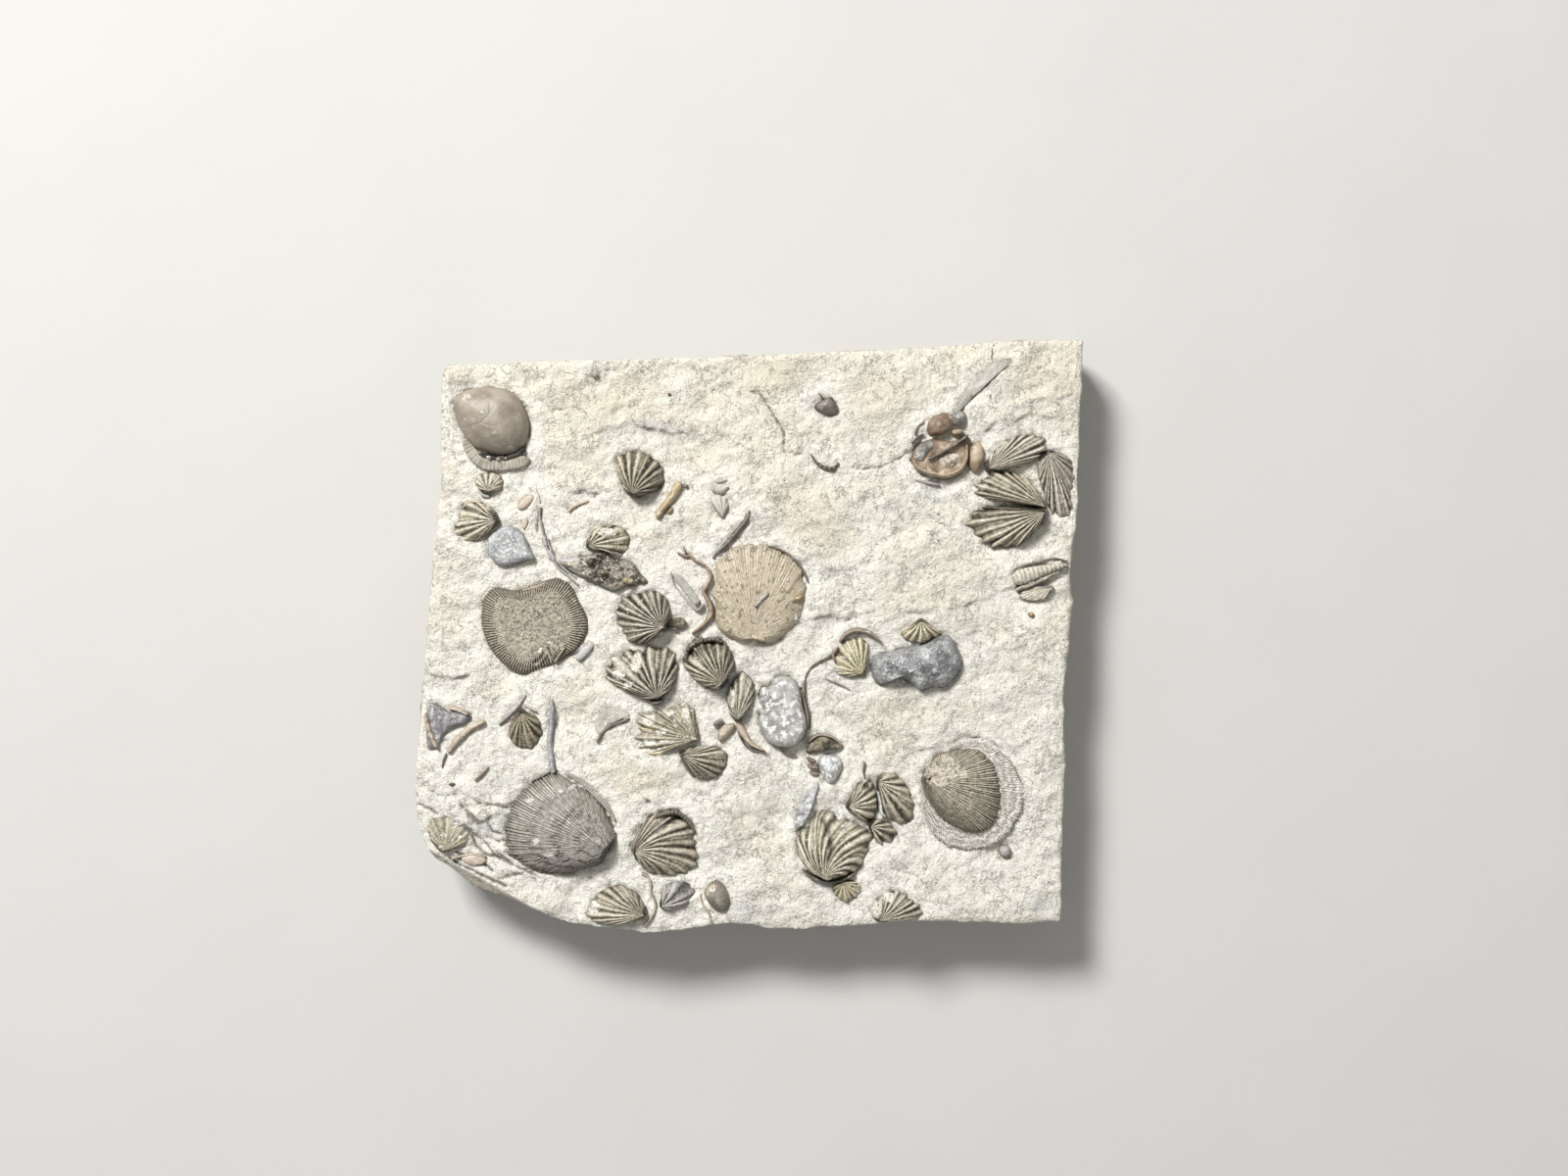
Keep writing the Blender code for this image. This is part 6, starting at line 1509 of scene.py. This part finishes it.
def pale_floor():
    """Plain board under the slab, in matt paint: even, with faint clouds and no shine."""
    bm = bmesh.new()
    bmesh.ops.create_grid(bm, x_segments=1, y_segments=1, size=FLOOR_WIDTH / 2)
    mesh = bpy.data.meshes.new("floor")
    bm.to_mesh(mesh)
    bm.free()
    material, tree = new_material("matt_paint")
    place = add(tree, "TexCoord", out="Object")
    cloud = add(tree, "TexNoise", [place, per_mm(30.0), 3.0])
    colour = add(tree, "Mix", [cloud, srgb("#C6C5C1"), srgb("#CBCAC6")], data_type="RGBA")
    shader = add(tree, "BsdfPrincipled", {"Base Color": colour, "Roughness": 0.8})
    add(tree, "OutputMaterial", {"Surface": shader})
    mesh.materials.append(material)
    item = bpy.data.objects.new("floor", mesh)
    bpy.context.collection.objects.link(item)


# Finish: its material, and a slot name for the pieces that stand for no solid, which nothing here uses
FINISHES = {
    "limestone": (scraped_limestone(), "limestone_stone"),
    # Ribbed shells: colour of the crests (with a painted highlight), of the grooves between them (clay
    # and painted shade, also the colour of their other painted shade) and of the stains, and how much
    # rock sticks to them
    "olive": (brushed_calcite("olive_brushed_calcite", "#D5CDB5", "#1C1811", "#746B53", 0.3),
              "olive_fossil"),
    "gold": (brushed_calcite("golden_brushed_calcite", "#DBD3BE", "#2E281B", "#948A74", 0.35),
              "gold_fossil"),
    "gold_dark": (brushed_calcite("dark_golden_brushed_calcite", "#D3CAB6", "#1B170F", "#857A67",
              0.3), "gold_fossil"),
    "cream_gold": (brushed_calcite("cream_brushed_calcite", "#E1D9BE", "#4E462F", "#A89D7B", 0.4),
              "cream_fossil"),
    "dark": (brushed_calcite("dark_brushed_calcite", "#D2CBBA", "#100E0A", "#645C4A", 0.3),
              "dark_olive_fossil"),
    "tan": (brushed_calcite("tan_brushed_calcite", "#D9D0BE", "#5C5344", "#A29884", 0.5),
              "tan_fossil"),
    "tan_brown": (brushed_calcite("tan_brown_brushed_calcite", "#DED6C6", "#2A251D", "#938A79",
              0.35), "warm_grey_fossil"),
    "yellow_tan": (brushed_calcite("yellowish_brushed_calcite", "#C2BA9F", "#6A6356", "#98907B",
              0.6), "tan_fossil"),
    "brown_shell": (brushed_calcite("brown_brushed_calcite", "#B3A88B", "#1A160F", "#6B634C", 0.2),
              "dark_brown_fossil"),
    "grey": (brushed_calcite("grey_brushed_calcite", "#BDB8B1", "#3D3935", "#8A857F", 0.25),
              "grey_fossil"),
    "grey_olive": (brushed_calcite("grey_olive_brushed_calcite", "#CFC9B8", "#332F27", "#8B8470",
              0.4), "olive_fossil"),
    "ghost": (brushed_calcite("faded_calcite", "#D9D4C9", "#A39D92", "#C1BBAF", 0.5),
              "pale_grey_fossil"),
    "cream_tube": (brushed_calcite("cream_tube_calcite", "#E5DECE", "#978C77", "#D0C7B4", 0.6),
              "cream_fossil"),
    # Fine-ribbed shells and discs, where pale crests and dark grooves (clay and painted shade) blend into
    # one grainy tone
    "atrypid": (brushed_calcite("fine_ribbed_calcite", "#C6C0B5", "#57524A", "#938D82", 0.3,
              chalk="#D0CAC0", growth=1.2, contrast=0.16, worn=0.15), "warm_grey_fossil"),
    "atrypid_brown": (brushed_calcite("fine_ribbed_brown_calcite", "#CDC5B3", "#403A2A", "#968D79",
              0.2, chalk="#D2C8B4", growth=0.8, stain_share=0.3, contrast=0.2, worn=0.3),
              "dark_olive_fossil"),
    "frill": (brushed_calcite("frilled_calcite", "#E0DBD1", "#9F988E", "#CCC6BC", 0.45,
              chalk="#ECE8DF", growth=2.4, stain_share=0.6, contrast=0.1, worn=0.35),
              "pale_grey_fossil"),
    "disc": (brushed_calcite("grainy_dark_calcite", "#BAB19F", "#221E17", "#807765", 0.3,
              growth=0.0, stain_share=0.3, contrast=0.36, worn=0.4, grain=0.35),
              "dark_olive_fossil"),
    "cream_shell": (brushed_calcite("fine_ribbed_cream_calcite", "#C3B9A4", "#978A71", "#AEA289",
              0.45, chalk="#7C7566", growth=0.0, stain_share=0.55, contrast=0.16, worn=0.35),
              "cream_fossil"),
    # Smooth and crystalline pieces: base, deep and pale colour, and size of the flecks.
    # Shells worn smooth: a soft sheen over faint clouds
    "smooth_brown": (calcite("smooth_worn_calcite", "#A69B8C", "#8B8072", "#C3BAAD", 1.6, share=0.2,
              crust=0.0, depth=0.09, chalk="#C4BAAC", contrast=0.09), "warm_grey_fossil"),
    "grey_brown": (calcite("smooth_tan_calcite", "#9C9384", "#625A4D", "#BDB196", 2.0, crust=0.2,
              rough=0.6), "warm_grey_fossil"),
    "dark_chip": (calcite("dark_smooth_calcite", "#807870", "#3B3732", "#9E9286", 1.0, share=0.3,
              crust=0.05, rough=0.4), "near_black_fossil"),
    "tan_smooth": (calcite("polished_tan_calcite", "#BFAE95", "#8E7D62", "#D3C6AD", 1.5, share=0.3,
              crust=0.1, depth=0.06), "tan_fossil"),
    "amber": (calcite("polished_brown_calcite", "#A8957D", "#6E5A47", "#C9BDA6", 1.6, share=0.35,
              crust=0.15, rough=0.68, depth=0.08), "tan_fossil"),
    # Sparry calcite: milky, with glossy white patches
    "bean": (calcite("sparry_calcite", "#C2C1BD", "#93928D", "#F0EFEA", 1.1, share=0.55, crust=0.0,
              rough=0.35), "pale_grey_fossil"),
    "crystal": (calcite("white_sparry_calcite", "#CACAC7", "#989794", "#F2F2EF", 0.7, share=0.6,
              crust=0.0, rough=0.35), "pale_grey_fossil"),
    "section_cream": (calcite("cream_sparry_calcite", "#D9D0BF", "#9A8C76", "#F2EEE4", 1.2,
              share=0.55, crust=0.1), "tan_fossil"),
    "speckled_blue": (calcite("speckled_blue_calcite", "#B9B9B8", "#8A8B8D", "#E4E3E0", 0.5,
              share=0.5, crust=0.2, contrast=0.24), "blue_grey_fossil"),
    # Granular pyrite, fresh and rusty: dark pits between pale grains
    "pyrite": (calcite("granular_pyrite", "#A89F91", "#3F3A31", "#DBD3C0", 0.6, share=0.45,
              crust=0.25, rough=0.4, pores=0.7, depth=0.3, contrast=0.3), "dark_brown_fossil"),
    "pyrite_pale": (calcite("pale_granular_pyrite", "#ADA38A", "#4A4435", "#CFC5A8", 0.6,
              crust=0.25, rough=0.4, pores=0.7, depth=0.3, contrast=0.25), "dark_brown_fossil"),
    "rusty": (calcite("rusty_pyrite", "#C2B48C", "#6E6246", "#D9CDA6", 0.6, crust=0.2, pores=0.7,
              depth=0.3), "ochre_fossil"),
    # Skeleton of a bryozoan: fine dark pores
    "bryozoan": (calcite("porous_bryozoan_calcite", "#BBBBB9", "#727274", "#DDDDDB", 0.5,
              share=0.35, crust=0.1, rough=0.55, pores=0.36, depth=0.25, contrast=0.25),
              "grey_fossil"),
    # A near-black piece painted in as the shade of the gap under the smooth shell, and crumbs of chalk:
    # dull all over
    "cavity_shade": (calcite("painted_cavity_shade", "#3E3931", "#17140F", "#5D574D", 0.7, share=0.3,
              crust=0.0, rough=0.8), "near_black_fossil"),
    "crumb": (calcite("chalk_crumb", "#E6E2D9", "#B9B4A9", "#F5F2EC", 0.6, crust=0.0, rough=0.8),
              "pale_grey_fossil"),
    # Chips of shell, stem and spine: plain, with some rock on them
    "grey_violet": (calcite("violet_grey_calcite", "#A3A1A1", "#6E6C6E", "#C2C0C0", 0.8),
              "violet_grey_fossil"),
    "violet_bit": (calcite("pale_violet_calcite", "#B8B5B2", "#8A8784", "#CFCCC8", 0.9),
              "violet_grey_fossil"),
    "blue_bit": (calcite("blue_grey_calcite", "#A2A3A6", "#6B6C6F", "#C4C5C7", 0.8, crust=0.45),
              "blue_grey_fossil"),
    "grey_bit": (calcite("grey_calcite", "#ABA8A3", "#706C67", "#CBC8C3", 0.8, crust=0.4),
              "grey_fossil"),
    "dark_bit": (calcite("dark_calcite", "#6F695F", "#2E2A25", "#A39C90", 0.8, share=0.35,
              crust=0.35), "near_black_fossil"),
    "brown_bit": (calcite("brown_calcite", "#968675", "#50463A", "#B9AA94", 0.8, share=0.35),
              "dark_brown_fossil"),
    "brown_rim": (calcite("pale_brown_calcite", "#A38F77", "#68553F", "#C4B496", 0.9, share=0.35),
              "dark_brown_fossil"),
    "tan_bit": (calcite("tan_calcite", "#BFB09B", "#857763", "#D6CBBA", 0.8, crust=0.4),
              "tan_fossil"),
    "gold_bit": (calcite("golden_calcite", "#CFC29C", "#7A6E50", "#E0D6B6", 0.8), "gold_fossil"),
    "pink_tan": (calcite("pinkish_calcite", "#C9BBA8", "#A39481", "#DCD1C2", 0.9, crust=0.4),
              "tan_fossil"),
    "ochre": (calcite("ochre_calcite", "#B9A37F", "#816844", "#D4C8AC", 0.8), "ochre_fossil"),
}

smooth_shell()
north_west_shells()
north_shells()
crusted_cluster()
dark_disc()
middle_shells()
west_pieces()
white_nodules()
east_fans()
cream_disc_shell()
north_east_pieces()
east_shells()
south_west_shells()
south_shells()
right_atrypid_shell()
south_east_shells()
limestone_slab()
camera()
studio()
pale_floor()
